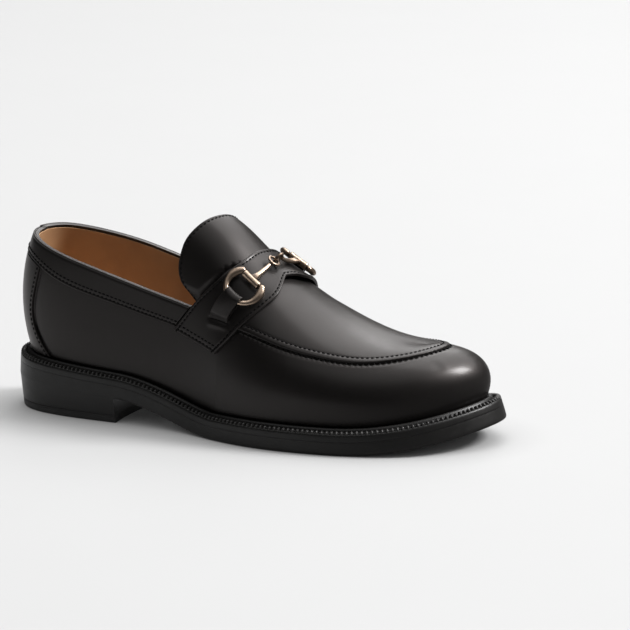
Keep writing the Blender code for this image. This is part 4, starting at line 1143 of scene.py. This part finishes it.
def make_bit_bar(name, side, metal):
    """Barrel on the ring's pin, tapered bar and eye; the two eyes pass through each other."""
    barrel, out, along, off, _ = bit_frame(side)
    spine_x, t, height = EYES_AT
    middle = raised(rib_at(spine_x, -1), t, height)
    ridge_slope = unit(raised(rib_at(spine_x + 2, -1), t, height) - middle)
    across = np.array([0.0, side, 0.0])
    upright = unit(np.cross(ridge_slope, across)) * side
    eye = middle + across * EYE_RADIUS / 2
    eye_axis = upright
    if side > 0:
        eye = eye + upright * EYE_RISE
        eye_axis = ridge_slope
    cast = Casting()
    half = BARREL_LENGTH / 2
    profile = [(-half + d, r, m) for d, r, m in BARREL_PROFILE]
    profile += [(half - d, r, m) for d, r, m in BARREL_PROFILE[-2::-1]]
    places, radii, recess = zip(*profile)
    cast.rod([barrel + along * d for d in places], radii, radii, off, recess)
    toward = unit(eye - barrel)
    root = barrel + toward * BAR_ROOT
    tip = eye - toward * (EYE_RADIUS - BAR_INTO_EYE)
    flat_up = unit(np.cross(toward, along))
    flat_up = flat_up * math.copysign(1, np.dot(flat_up, off))
    shares, widths, thicks, recess = zip(*BAR_PROFILE)
    path = [root + (tip - root) * share + flat_up * BAR_ARCH * math.sin(math.pi * share) for share in shares]
    cast.rod(path, widths, thicks, flat_up, recess)
    first = unit(np.cross(eye_axis, np.cross(toward, eye_axis)))
    second = np.cross(eye_axis, first)
    turn = np.arange(EYE_STEPS) * 2 * math.pi / EYE_STEPS
    loop = [eye + EYE_RADIUS * (first * math.cos(a) + second * math.sin(a)) for a in turn]
    mark = [EYE_RECESS[0] + EYE_RECESS[1] * max(0.0, math.cos(a)) for a in turn]
    cast.rod(loop, [EYE_WIRE] * EYE_STEPS, [EYE_WIRE * 0.9] * EYE_STEPS, eye_axis, mark, closed=True)
    return cast.piece(name, metal, [name])


# Keeper: a folded band that holds the ring's bow to the strap, and goes in at a slit lower down.
KEEPER_THICK = 1.0
KEEPER_TURN = math.radians(31)
KEEPER_WIDTH = 10.2
KEEPER_STRAIGHT = 0.6
KEEPER_DIVE = 0.25
KEEPER_ROUNDING = 0.4
KEEPER_LINES = 5
KEEPER_RUN_STEPS = 25
KEEPER_BEND_STEPS = 19
WIRE_SLACK = 1.3
BIT_SPAN_X = (166, 190)
BIT_SPAN_T = (0.5, 0.97)


def place_on_upper(point, side):
    """Rib, t and height of a point that lies just off the upper, near the bit."""
    spine_x = np.linspace(*BIT_SPAN_X, 241)
    t = np.linspace(*BIT_SPAN_T, 377)
    away = np.linalg.norm(last_point(rib_at(spine_x, side)[:, None], t) - point, axis=-1)
    i, j = np.unravel_index(away.argmin(), away.shape)
    return spine_x[i], t[j], away[i, j]


def keeper_profile(slit_t, bow_t, bow_height, reach_t, extra):
    """One face of the folded band as t and height: up from the slit, round the wire, back to the slit.

    extra: how far this face lies outside the band's inner one."""
    base = GAP + STRAP_THICK
    reach = RING_FLATNESS * RING_WIRE + GAP + extra
    under = base + GAP + KEEPER_THICK - extra
    over = base + GAP + KEEPER_THICK + extra
    run = np.linspace(0, 1, KEEPER_RUN_STEPS)[:-1]
    sink = (1 - smooth_step(run / KEEPER_DIVE)) * (over - base)
    turn = np.linspace(-math.pi / 2, math.pi / 2, KEEPER_BEND_STEPS)
    t = np.concatenate([slit_t + (bow_t - slit_t) * run, bow_t + reach_t * np.cos(turn),
                        slit_t + (bow_t - slit_t) * run[::-1]])
    height = np.concatenate([under + (bow_height - reach - under) * run - sink,
                             bow_height + reach * np.sin(turn),
                             (over + (bow_height + reach - over) * run - sink)[::-1]])
    return t, height


def make_keeper(name, side, calf):
    """Folded band round the ring's wire, with a straight fold and both layers in the slit."""
    slit_x, slit_middle = KEEPER_SLIT_AT[side]
    t_per_mm = (BARREL_AT[side][1] - RING_BOW_AT[side][1]) / bit_frame(side)[4]
    shares = 2 * edge_shares(KEEPER_WIDTH, KEEPER_LINES) - 1
    wire = [place_on_upper(bow_point(side, share * KEEPER_TURN), side) for share in shares]
    highest = max(bow_t for _, bow_t, _ in wire)
    faces = {"outer": [], "inner": []}
    edge = []
    for share, (bow_x, bow_t, bow_height) in zip(shares, wire):
        slit_t = slit_middle + KEEPER_SLIT_SLANT * share
        from_edge = (1 - abs(share)) * KEEPER_WIDTH / 2
        inside = np.clip(1 - from_edge / KEEPER_ROUNDING, 0, 1)
        rounding = KEEPER_ROUNDING * (1 - math.sqrt(1 - inside ** 2))
        extra = {"outer": KEEPER_THICK - rounding, "inner": 0.0}
        for face, lines in faces.items():
            reach_t = (WIRE_SLACK * RING_WIRE + GAP + extra[face]) * t_per_mm
            reach_t = reach_t + KEEPER_STRAIGHT * (highest - bow_t)
            t, height = keeper_profile(slit_t, bow_t, bow_height, reach_t, extra[face])
            start_x = slit_x + share * KEEPER_SLIT_HALF
            spine_x = start_x + (bow_x - start_x) * np.clip((t - slit_t) / (bow_t - slit_t), 0, 1)
            lines.append(raised(rib_at(spine_x, side), t, height))
        edge.append(np.full(len(t), np.clip(1 - from_edge / EDGE_MARK, 0, 1)))
    outer, inner = [np.array(lines).swapaxes(0, 1) for lines in faces.values()]
    edge = np.array(edge).T
    points = np.concatenate([outer, inner]).reshape(-1, 3)
    return mesh_piece(name, points, sheet_faces(*outer.shape[:2]), calf, "calf", [name],
                      np.concatenate([edge, edge]))


# Node trees
def feed(tree, socket, value):
    """Links an input to another socket, or sets it to a plain value."""
    if isinstance(value, bpy.types.NodeSocket):
        tree.links.new(value, socket)
    else:
        socket.default_value = value


def set_inputs(tree, made, **inputs):
    """Feeds the inputs of a node by name, with _ for a space in the name."""
    for name, value in inputs.items():
        feed(tree, made.inputs[name.replace("_", " ")], value)
    return made


def tree_node(tree, kind, **inputs):
    return set_inputs(tree, tree.nodes.new(kind), **inputs)


def math_node(tree, operation, *values):
    made = tree.nodes.new("ShaderNodeMath")
    made.operation = operation
    for socket, value in zip(made.inputs, values):
        feed(tree, socket, value)
    return made.outputs[0]


# Sewing and ribs, grown along paths
ROW_SIZES = {"Pitch": 2.7, "Length": 1.8, "Thread": 0.8}
ROW_TRIM = 1.0
GATHER_SIZES = {"Pitch": PUCKER_PITCH, "Length": 2.2, "Thread": 0.95}
GATHER_BELOW = 0.75
GATHER_DEPTH = 0.42
GATHER_CLIMB_T = 0.01
GATHER_CLIMB = 0.35
TACK_SIZES = {"Pitch": 6.0, "Length": 4.0, "Thread": 1.7}
TACK_T = (0.262, 0.302)
STRAP_TRIM = 1.2
STRAP_END_ROWS = (EDGE_ROW, 4.6)
# A stitch in shares of its thread: the level of its ends, and of the point that it bows toward.
STITCH_DIP = -0.55
STITCH_CREST = 1.15


def path_object(name, paths):
    """Lines in millimetres, each with the directions off the surface and along the stitch."""
    points = np.concatenate([p for p, _, _ in paths])
    edges = []
    start = 0
    for p, _, _ in paths:
        edges += [(start + k, start + k + 1) for k in range(len(p) - 1)]
        start += len(p)
    mesh = bpy.data.meshes.new(name)
    mesh.from_pydata((MM * (points - ORIGIN)).tolist(), edges, [])
    for label, place_in in (("off", 1), ("run", 2)):
        values = np.concatenate([path[place_in] for path in paths])
        values = values / np.linalg.norm(values, axis=-1, keepdims=True)
        mark = mesh.attributes.new(label, "FLOAT_VECTOR", "POINT")
        mark.data.foreach_set("vector", values.astype(np.float32).ravel())
    return add_object(name, mesh)


def new_tree(name, sizes):
    """A geometry tree with a path, named sizes in metres and a finish going in."""
    tree = bpy.data.node_groups.new(name, "GeometryNodeTree")
    tree.interface.new_socket("Path", in_out="INPUT", socket_type="NodeSocketGeometry")
    for label, value in sizes.items():
        socket = tree.interface.new_socket(label, in_out="INPUT", socket_type="NodeSocketFloat")
        socket.default_value = value
    tree.interface.new_socket("Finish", in_out="INPUT", socket_type="NodeSocketMaterial")
    tree.interface.new_socket("Grown", in_out="OUTPUT", socket_type="NodeSocketGeometry")
    return tree, tree.nodes.new("NodeGroupInput").outputs


def spread_along_path(tree, given, shape):
    """Instances of a shape at even steps along the path, turned to its off and run directions."""
    curve = tree_node(tree, "GeometryNodeMeshToCurve", Mesh=given["Path"])
    spaced = tree.nodes.new("GeometryNodeResampleCurve")
    spaced.mode = "LENGTH"
    set_inputs(tree, spaced, Curve=curve.outputs[0], Length=given["Pitch"])
    turn = tree.nodes.new("FunctionNodeAxesToRotation")
    turn.primary_axis = "Z"
    turn.secondary_axis = "X"
    for label, place_in in (("off", 0), ("run", 1)):
        read = tree.nodes.new("GeometryNodeInputNamedAttribute")
        read.data_type = "FLOAT_VECTOR"
        read.inputs["Name"].default_value = label
        tree.links.new(read.outputs["Attribute"], turn.inputs[place_in])
    spread = tree_node(tree, "GeometryNodeInstanceOnPoints", Points=spaced.outputs[0], Instance=shape,
                       Rotation=turn.outputs[0])
    real = tree_node(tree, "GeometryNodeRealizeInstances", Geometry=spread.outputs[0])
    smooth = tree_node(tree, "GeometryNodeSetShadeSmooth", Geometry=real.outputs[0])
    finish = tree_node(tree, "GeometryNodeSetMaterial", Geometry=smooth.outputs[0], Material=given["Finish"])
    out = tree.nodes.new("NodeGroupOutput")
    tree.links.new(finish.outputs[0], out.inputs[0])


def stitch_tree():
    """One stitch, a short bowed length of thread that dips into the leather at its ends, along a path."""
    tree, given = new_tree("stitch row", {"Pitch": 0.0025, "Length": 0.0019, "Thread": 0.0006})
    ends = []
    for share in (-0.5, 0.5):
        ends.append(tree_node(tree, "ShaderNodeCombineXYZ",
                              X=math_node(tree, "MULTIPLY", given["Length"], share),
                              Z=math_node(tree, "MULTIPLY", given["Thread"], STITCH_DIP)))
    crest = tree_node(tree, "ShaderNodeCombineXYZ",
                      Z=math_node(tree, "MULTIPLY", given["Thread"], STITCH_CREST))
    bow = tree_node(tree, "GeometryNodeCurveQuadraticBezier", Resolution=5, Start=ends[0].outputs[0],
                    Middle=crest.outputs[0], End=ends[1].outputs[0])
    round_thread = tree_node(tree, "GeometryNodeCurvePrimitiveCircle", Resolution=6,
                             Radius=math_node(tree, "MULTIPLY", given["Thread"], 0.5))
    solid = tree_node(tree, "GeometryNodeCurveToMesh", Curve=bow.outputs[0],
                      Profile_Curve=round_thread.outputs[0], Fill_Caps=True)
    spread_along_path(tree, given, solid.outputs[0])
    return tree


def rib_tree():
    """One rounded rib of the welt's wheeled band, set across it, along a path."""
    tree, given = new_tree("welt ribs", {"Pitch": 0.0027, "Across": 0.0042, "Thick": 0.0022, "Rise": 0.0016})
    size = tree_node(tree, "ShaderNodeCombineXYZ", X=given["Across"], Y=given["Thick"], Z=given["Rise"])
    block = tree_node(tree, "GeometryNodeMeshCube", Size=size.outputs[0])
    rounded = tree_node(tree, "GeometryNodeSubdivisionSurface", Mesh=block.outputs[0], Level=1)
    spread_along_path(tree, given, rounded.outputs[0])
    return tree


def grow(name, paths, tree, sizes, finish, slot):
    """Runs a tree on its paths and keeps the result as a plain mesh piece."""
    thing = path_object(name + "_path", paths)
    modifier = thing.modifiers.new(tree.name, "NODES")
    modifier.node_group = tree
    values = {**{label: MM * size for label, size in sizes.items()}, "Finish": finish}
    for item in tree.interface.items_tree:
        if item.in_out == "INPUT" and item.name in values:
            modifier[item.identifier] = values[item.name]
    bpy.context.view_layer.update()
    graph = bpy.context.evaluated_depsgraph_get()
    mesh = bpy.data.meshes.new_from_object(thing.evaluated_get(graph), depsgraph=graph)
    mesh.name = name
    bpy.data.objects.remove(thing)
    return place(add_object(name, mesh), slot)


def sewn(points, off):
    """A path whose stitches lie along it."""
    return points, off, np.gradient(points, axis=0)


def seam_rows():
    """The apron's sewn row, and the cross stitches that gather the wall in the groove below it."""
    keep = SEAM_RIDGE > 0.05
    s = UPPER_S[keep]
    t = (UPPER_SEAM + SEAM_SEWN_AT / SEAM_SCALE)[keep]
    row = sewn(raised(s, t, SEAM_SEWN_HEIGHT * SEAM_RIDGE[keep]), last_normal(s, t))
    t = (UPPER_SEAM - GATHER_BELOW / SEAM_SCALE)[keep]
    points = raised(s, t, -GATHER_DEPTH)
    across = raised(s, t + GATHER_CLIMB_T, GATHER_CLIMB) - raised(s, t, -GATHER_CLIMB)
    return row, (points, last_normal(s, t), across)


def heel_tack():
    """Two short thread bars sewn across the backstay at the back of the heel."""
    t = np.array(TACK_T)
    s = np.zeros(t.shape)
    points = raised(s, t, GAP + BAND_THICK)
    return points, last_normal(s, t), np.tile([0.0, 1.0, 0.0], (len(t), 1))


def strap_rows(strap):
    """Sewing along the strap's long edges, and in two rows across its ends."""
    rows = [sewn(*strap.row(edge, EDGE_ROW, trim=STRAP_TRIM)) for edge in ("low", "high")]
    for edge in ("start", "end"):
        rows += [sewn(*strap.row(edge, distance, trim=EDGE_ROW)) for distance in STRAP_END_ROWS]
    return rows


# Finishes. Colours are linear red, green and blue.
WARM_SHINE = (1.0, 0.9, 0.865)
# A leather has colours: its dark tone, its light tone and its cut edge. rough: its roughness, from glossy
# to dull. cells: pebbles of its grain to a metre. shine: specular level, coat weight and coat roughness.
CALF = {
    "colours": ((0.0055, 0.0053, 0.0052), (0.0085, 0.0081, 0.0079), (0.013, 0.0122, 0.0116)),
    "rough": (0.4, 0.48),
    "cells": 1500.0,
    "grain_depth": 0.00004,
    "shine": (0.2, 0.25, 0.24),
}
TAN = {
    "colours": ((0.36, 0.20, 0.10), (0.47, 0.28, 0.15), (0.30, 0.17, 0.09)),
    "rough": (0.5, 0.66),
    "cells": 900.0,
    "grain_depth": 0.00006,
    "shine": (0.4, 0.0, 0.3),
}
# Dark and light tones of the other finishes
DRESSING_TONES = ((0.006, 0.0057, 0.0055), (0.012, 0.0112, 0.0106))
# Welt ribs: lighter than the edge dressing, partly for wear and partly as painted light on their tops, which
# the lamps leave dark.
WORN_AND_PAINTED_LIGHT_TONES = ((0.022, 0.021, 0.0205), (0.042, 0.04, 0.039))
DRESSING_CUT = (0.03, 0.027, 0.025)
RUBBER_TONES = ((0.010, 0.010, 0.010), (0.022, 0.021, 0.021))
RUBBED_TONES = ((0.46, 0.33, 0.235), (0.62, 0.5, 0.4))
PATINA = (0.07, 0.05, 0.037)
THREAD_TONES = ((0.002, 0.002, 0.002), (0.005, 0.0047, 0.0045))


def material_with(name):
    """A new material, its tree and its Principled shader."""
    material = bpy.data.materials.new(name)
    material.use_nodes = True
    tree = material.node_tree
    return material, tree, tree.nodes["Principled BSDF"]


def shader_group(name, inputs, outputs):
    """An empty shader group with float inputs at given values, and named outputs."""
    tree = bpy.data.node_groups.new(name, "ShaderNodeTree")
    for label, value in inputs.items():
        socket = tree.interface.new_socket(label, in_out="INPUT", socket_type="NodeSocketFloat")
        socket.default_value = value
    for label in outputs:
        tree.interface.new_socket(label, in_out="OUTPUT", socket_type="NodeSocketFloat")
    return tree, tree.nodes.new("NodeGroupInput").outputs, tree.nodes.new("NodeGroupOutput").inputs


def noise(tree, place_at, scale, detail=2.0, roughness=0.5, distortion=0.0):
    made = tree_node(tree, "ShaderNodeTexNoise", Vector=place_at, Scale=scale, Detail=detail,
                     Roughness=roughness, Distortion=distortion)
    return made.outputs[0]


def spot_on_piece(tree):
    """Where the shaded point lies on its piece, in metres."""
    return tree.nodes.new("ShaderNodeTexCoord").outputs["Object"]


def edge_mark(tree):
    """The piece's own mark of cut edges or recesses."""
    mark = tree.nodes.new("ShaderNodeAttribute")
    mark.attribute_name = "edge"
    return mark.outputs["Fac"]


def grain_group():
    """Leather grain: fine pebbles with creases between them, pores, and slow changes over the hide."""
    tree, given, out = shader_group("leather grain", {"Cells": 1500.0, "Slow": 30.0},
                                    ("Height", "Tone", "Gloss"))
    spot = spot_on_piece(tree)
    cells = tree.nodes.new("ShaderNodeTexVoronoi")
    cells.feature = "SMOOTH_F1"
    set_inputs(tree, cells, Vector=spot, Scale=given["Cells"])
    pebble = math_node(tree, "SUBTRACT", 1.0, cells.outputs["Distance"])
    pores = noise(tree, spot, math_node(tree, "MULTIPLY", given["Cells"], 2.2), 1.0)
    patches = math_node(tree, "MULTIPLY", given["Slow"], 6.0)
    tree.links.new(math_node(tree, "ADD", pebble, math_node(tree, "MULTIPLY", pores, 0.5)), out["Height"])
    tree.links.new(noise(tree, spot, given["Slow"], 3.0, 0.55, 0.4), out["Tone"])
    tree.links.new(noise(tree, spot, patches, 4.0, 0.6), out["Gloss"])
    return tree


def edge_group():
    """Where the leather's cut edges and worn spots are: the piece's own mark, broken up a little."""
    tree, given, out = shader_group("cut edges", {"Break": 700.0}, ("Mask",))
    rough = math_node(tree, "ADD", 0.55, noise(tree, spot_on_piece(tree), given["Break"], 2.0))
    tree.links.new(math_node(tree, "MULTIPLY", edge_mark(tree), rough), out["Mask"])
    return tree


def place_group(tree, group, **values):
    made = tree.nodes.new("ShaderNodeGroup")
    made.node_tree = group
    return set_inputs(tree, made, **values).outputs


def blend_colours(tree, mask, first, second):
    """The first colour where the mask is 0, the second where it is 1; either may be a socket."""
    made = tree.nodes.new("ShaderNodeMix")
    made.data_type = "RGBA"
    tree.links.new(mask, made.inputs["Factor"])
    for place_in, value in ((6, first), (7, second)):
        feed(tree, made.inputs[place_in], value if isinstance(value, bpy.types.NodeSocket) else (*value, 1))
    return made.outputs[2]


def spread_value(tree, mask, low, high):
    """A value that goes from low to high with a mask from 0 to 1."""
    return tree_node(tree, "ShaderNodeMapRange", Value=mask, To_Min=low, To_Max=high).outputs[0]


def smooth_range(tree, value, ends):
    """A value that eases between two ends, which are named as the range node's inputs are."""
    made = tree.nodes.new("ShaderNodeMapRange")
    made.interpolation_type = "SMOOTHSTEP"
    return set_inputs(tree, made, Value=value, **ends).outputs[0]


def bump(tree, height, distance, strength, **under):
    """Relief on the plain surface, or on another relief that is given as Normal."""
    made = tree_node(tree, "ShaderNodeBump", Height=height, Distance=distance, Strength=strength, **under)
    return made.outputs[0]


def leather(name, groups, colours, rough, cells, grain_depth, shine):
    """A leather finish, by the values that are named above."""
    grain, edges = groups
    material, tree, shader = material_with(name)
    hide = place_group(tree, grain, Cells=cells)
    cut = place_group(tree, edges)
    tone = spread_value(tree, hide["Tone"], -0.3, 1.3)
    hide_colour = blend_colours(tree, tone, colours[0], colours[1])
    gloss = spread_value(tree, hide["Gloss"], *rough)
    worn = math_node(tree, "MULTIPLY", cut["Mask"], 0.12)
    slow = bump(tree, hide["Tone"], 0.0006, 0.25)
    specular, coat, coat_roughness = shine
    set_inputs(tree, shader,
               Base_Color=blend_colours(tree, cut["Mask"], hide_colour, colours[2]),
               Roughness=math_node(tree, "ADD", gloss, worn),
               Normal=bump(tree, hide["Height"], grain_depth, 0.35, Normal=slow),
               Specular_IOR_Level=specular, Specular_Tint=(*WARM_SHINE, 1),
               Coat_Weight=coat, Coat_Roughness=coat_roughness, Coat_Tint=(*WARM_SHINE, 1))
    return material


def edge_dressing(name, groups, tones):
    """Waxed black of the sole's edge, with the faint lines of its layers. tones: its dark and light."""
    grain, edges = groups
    material, tree, shader = material_with(name)
    hide = place_group(tree, grain, Cells=900.0, Slow=45.0)
    cut = place_group(tree, edges)
    dyed = blend_colours(tree, spread_value(tree, hide["Tone"], -0.2, 1.2), *tones)
    stretch = tree_node(tree, "ShaderNodeMapping", Vector=spot_on_piece(tree), Scale=(60.0, 60.0, 1400.0))
    layered = bump(tree, noise(tree, stretch.outputs[0], 1.0, 2.0, 0.6), 0.00008, 0.25)
    set_inputs(tree, shader,
               Base_Color=blend_colours(tree, cut["Mask"], dyed, DRESSING_CUT),
               Roughness=spread_value(tree, hide["Gloss"], 0.34, 0.5),
               Normal=bump(tree, hide["Height"], 0.00005, 0.3, Normal=layered),
               Specular_IOR_Level=0.35)
    return material


def lift_rubber(grain):
    """Moulded black rubber of the heel's lift."""
    material, tree, shader = material_with("black lift rubber")
    skin = place_group(tree, grain, Cells=2400.0, Slow=60.0)
    set_inputs(tree, shader,
               Base_Color=blend_colours(tree, skin["Tone"], *RUBBER_TONES),
               Roughness=spread_value(tree, skin["Gloss"], 0.5, 0.68),
               Normal=bump(tree, skin["Height"], 0.00008, 0.4))
    return material


def antique_metal():
    """Cast metal with a brown patina in its recesses, rubbed bright on its high sides."""
    material, tree, shader = material_with("antique bit metal")
    spot = spot_on_piece(tree)
    patches = noise(tree, spot, 260.0, 4.0, 0.6, 0.3)
    fine = noise(tree, spot, 2200.0, 2.0, 0.6)
    dark = math_node(tree, "ADD", edge_mark(tree), spread_value(tree, patches, -0.5, 1.0))
    dark = math_node(tree, "MINIMUM", math_node(tree, "MAXIMUM", dark, 0.0), 1.0)
    rubbed = blend_colours(tree, patches, *RUBBED_TONES)
    tarnish = math_node(tree, "MULTIPLY", dark, 0.18)
    pitted = bump(tree, fine, 0.00005, 0.3)
    set_inputs(tree, shader, Metallic=1.0,
               Base_Color=blend_colours(tree, dark, rubbed, PATINA),
               Roughness=math_node(tree, "ADD", spread_value(tree, fine, 0.22, 0.34), tarnish),
               Normal=bump(tree, patches, 0.0003, 0.25, Normal=pitted))
    return material


def waxed_thread():
    """Black waxed thread, with the turns of its plies."""
    material, tree, shader = material_with("black waxed thread")
    plies = noise(tree, spot_on_piece(tree), 4200.0, 2.0, 0.6)
    set_inputs(tree, shader,
               Base_Color=blend_colours(tree, plies, *THREAD_TONES),
               Roughness=spread_value(tree, plies, 0.75, 0.95),
               Normal=bump(tree, plies, 0.00008, 0.5),
               Specular_IOR_Level=0.15)
    return material


# Stage
VIEW_AZIMUTH = math.radians(27.0)
VIEW_ELEVATION = math.radians(12.5)
VIEW_ROLL = math.radians(0.9)
VIEW_DISTANCE = 1.8575
VIEW_TARGET = Vector((0.04023, 0.00299, 0.06501))
VIEW_LENS = 189.74
# Brightness of the room over the height of the direction, from its walls to its ceiling.
ROOM_GLOW = {"From_Min": 0.6, "From_Max": 1.0, "To_Min": 0.02, "To_Max": 1.0}
BACKDROP = 0.9
FLOOR_TONES = ((0.285, 0.285, 0.285), (0.292, 0.292, 0.292))
FLOOR_REACH = 14.0
# Light that the floor gives back on top of its lamps, away from what stands on it.
FLOOR_GLOW = 0.28
CONTACT_REACH = 0.03
# Painted shade in the shoe's reflections: past the toe the floor turns dark to glossy rays only, seen only
# in the shoe. x where it starts and where it is darkest, and how dark.
PAINTED_REFLECTION_SHADE = {"From_Min": -0.05, "From_Max": 0.22, "To_Max": 0.95}
# Softboxes round the shoe: turn from straight behind it toward the toe's side and height above the floor,
# in degrees, half of the angle that each one fills, and its brightness.
LIGHT_DISTANCE = 5.0
LIGHTS = {
    "overhead softbox": (10.0, 59.0, 26.0, 3.1),
    "back softbox": (-20.0, 32.0, 11.0, 3.0),
    "toe light": (66.0, 42.0, 8.0, 57.0),
}


def make_camera():
    """Camera at the photo's place, turned by its azimuth, elevation and roll."""
    data = bpy.data.cameras.new("photo view")
    data.sensor_width = 36.0
    data.lens = VIEW_LENS
    data.clip_start = 0.05
    data.clip_end = 60.0
    camera = add_object("photo view", data)
    ca, sa = math.cos(VIEW_AZIMUTH), math.sin(VIEW_AZIMUTH)
    ce, se = math.cos(VIEW_ELEVATION), math.sin(VIEW_ELEVATION)
    right = Vector((ca, sa, 0.0))
    up = Vector((-se * sa, se * ca, ce))
    back = Vector((sa * ce, -ca * ce, se))
    turned_right = math.cos(VIEW_ROLL) * right - math.sin(VIEW_ROLL) * up
    turned_up = math.sin(VIEW_ROLL) * right + math.cos(VIEW_ROLL) * up
    turn = Matrix((turned_right, turned_up, back)).transposed().to_4x4()
    camera.matrix_world = Matrix.Translation(VIEW_TARGET + VIEW_DISTANCE * back) @ turn
    bpy.context.scene.camera = camera


def softbox(name, turn, height, spread, brightness):
    """A square soft light that faces the shoe from one direction."""
    turn, height, spread = (math.radians(angle) for angle in (turn, height, spread))
    toward = Vector((math.cos(height) * math.sin(turn), math.cos(height) * math.cos(turn), math.sin(height)))
    data = bpy.data.lights.new(name, "AREA")
    data.size = 2 * LIGHT_DISTANCE * math.tan(spread)
    data.energy = brightness * math.pi * data.size ** 2
    light = add_object(name, data)
    light.location = LIGHT_DISTANCE * toward
    light.rotation_mode = "QUATERNION"
    light.rotation_quaternion = toward.to_track_quat("Z", "Y")


def make_room():
    """A room with dim walls and a brighter ceiling, behind a pale backdrop."""
    world = bpy.data.worlds.new("studio room")
    world.use_nodes = True
    tree = world.node_tree
    toward = tree.nodes.new("ShaderNodeTexCoord").outputs["Generated"]
    parts = tree_node(tree, "ShaderNodeSeparateXYZ", Vector=toward)
    glow = smooth_range(tree, parts.outputs["Z"], ROOM_GLOW)
    seen = tree.nodes.new("ShaderNodeLightPath").outputs["Is Camera Ray"]
    backdrop = math_node(tree, "MULTIPLY", seen, BACKDROP)
    set_inputs(tree, tree.nodes["Background"], Color=(1, 1, 1, 1),
               Strength=math_node(tree, "MAXIMUM", glow, backdrop))
    bpy.context.scene.world = world


def floor_finish():
    """Pale floor, clear from below, that turns dark past the toe in the shoe's reflections only, as painted
    shade there.
    """
    material, tree, shader = material_with("pale studio floor")
    spot = spot_on_piece(tree)
    pale = blend_colours(tree, noise(tree, spot, 9.0, 3.0), *FLOOR_TONES)
    parts = tree_node(tree, "ShaderNodeSeparateXYZ", Vector=spot)
    mirrored = tree.nodes.new("ShaderNodeLightPath").outputs["Is Glossy Ray"]
    # Painted shade: past the toe the floor turns black and stops glowing for glossy rays only, which darkens
    # the shoe's reflections of it.
    painted_reflection_shade = math_node(tree, "MULTIPLY", mirrored, smooth_range(tree, parts.outputs["X"], PAINTED_REFLECTION_SHADE))
    open_floor = tree_node(tree, "ShaderNodeAmbientOcclusion", Distance=CONTACT_REACH)
    open_floor.samples = 3
    glow = math_node(tree, "MULTIPLY", math_node(tree, "SUBTRACT", 1.0, painted_reflection_shade), FLOOR_GLOW)
    set_inputs(tree, shader, Roughness=0.9,
               Base_Color=blend_colours(tree, painted_reflection_shade, pale, (0.0, 0.0, 0.0)),
               Emission_Color=(1, 1, 1, 1),
               Emission_Strength=math_node(tree, "MULTIPLY", glow, open_floor.outputs["AO"]))
    from_below = tree.nodes.new("ShaderNodeNewGeometry").outputs["Backfacing"]
    clear = tree.nodes.new("ShaderNodeBsdfTransparent")
    one_sided = tree.nodes.new("ShaderNodeMixShader")
    for socket, value in zip(one_sided.inputs, (from_below, shader.outputs[0], clear.outputs[0])):
        feed(tree, socket, value)
    tree.links.new(one_sided.outputs[0], tree.nodes["Material Output"].inputs["Surface"])
    return material


def make_stage():
    """The floor, the room and its soft lights."""
    mesh = bpy.data.meshes.new("floor")
    corners = [(-1, -1), (1, -1), (1, 1), (-1, 1)]
    mesh.from_pydata([(FLOOR_REACH * x, FLOOR_REACH * y, 0) for x, y in corners], [], [(0, 1, 2, 3)])
    mesh.materials.append(floor_finish())
    floor = add_object("floor", mesh)
    make_room()
    for name, row in LIGHTS.items():
        softbox(name, *row)


# Work
grain = grain_group()
groups = (grain, edge_group())
calf = leather("black calf", groups, **CALF)
tan = leather("tan lining leather", groups, **TAN)
dressing = edge_dressing("black edge dressing", groups, DRESSING_TONES)
# Finish of the welt ribs: worn, and lightened as painted light on their tops.
worn = edge_dressing("worn welt ribs with painted light", groups, WORN_AND_PAINTED_LIGHT_TONES)
rubber = lift_rubber(grain)
metal = antique_metal()
thread = waxed_thread()

make_upper(calf)
make_lining(tan)
strap = strap_sheet()
strap.piece("saddle_strap", calf)
tongue = tongue_sheet()
tongue.piece("tongue", calf)
band = band_sheet()
band.piece("collar_band", calf)
stay = backstay_sheet()
stay.piece("backstay", calf)
make_outsole(dressing)
make_welt(dressing)
make_heel(dressing, rubber)
for name, side in (("lateral", -1), ("medial", 1)):
    make_bit_ring("bit_ring_" + name, side, metal)
    make_bit_bar("bit_bar_" + name, side, metal)
    make_keeper("keeper_" + name, side, calf)
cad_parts["insole"].data.materials[0] = tan

stitches = stitch_tree()
apron_row, gathers = seam_rows()
rows = strap_rows(strap) + [apron_row, sewn(*tongue.row("low", EDGE_ROW, trim=ROW_TRIM))]
rows += [sewn(*band.row("low", distance, trim=ROW_TRIM)) for distance in BAND_ROWS]
rows += [sewn(*stay.row(edge, STAY_ROW, trim=ROW_TRIM)) for edge in ("start", "end")]
grow("stitching", rows, stitches, ROW_SIZES, thread, "calf")
grow("gathering_stitches", [gathers], stitches, GATHER_SIZES, thread, "calf")
grow("heel_tack", [heel_tack()], stitches, TACK_SIZES, thread, "calf")
# The ribs take the lighter finish, which is wear and painted light on their tops.
grow("welt_ribs", [welt_rib_path()], rib_tree(), RIB_SIZES, worn, "sole_edge")

make_stage()
make_camera()
bpy.context.scene.view_settings.view_transform = "Standard"
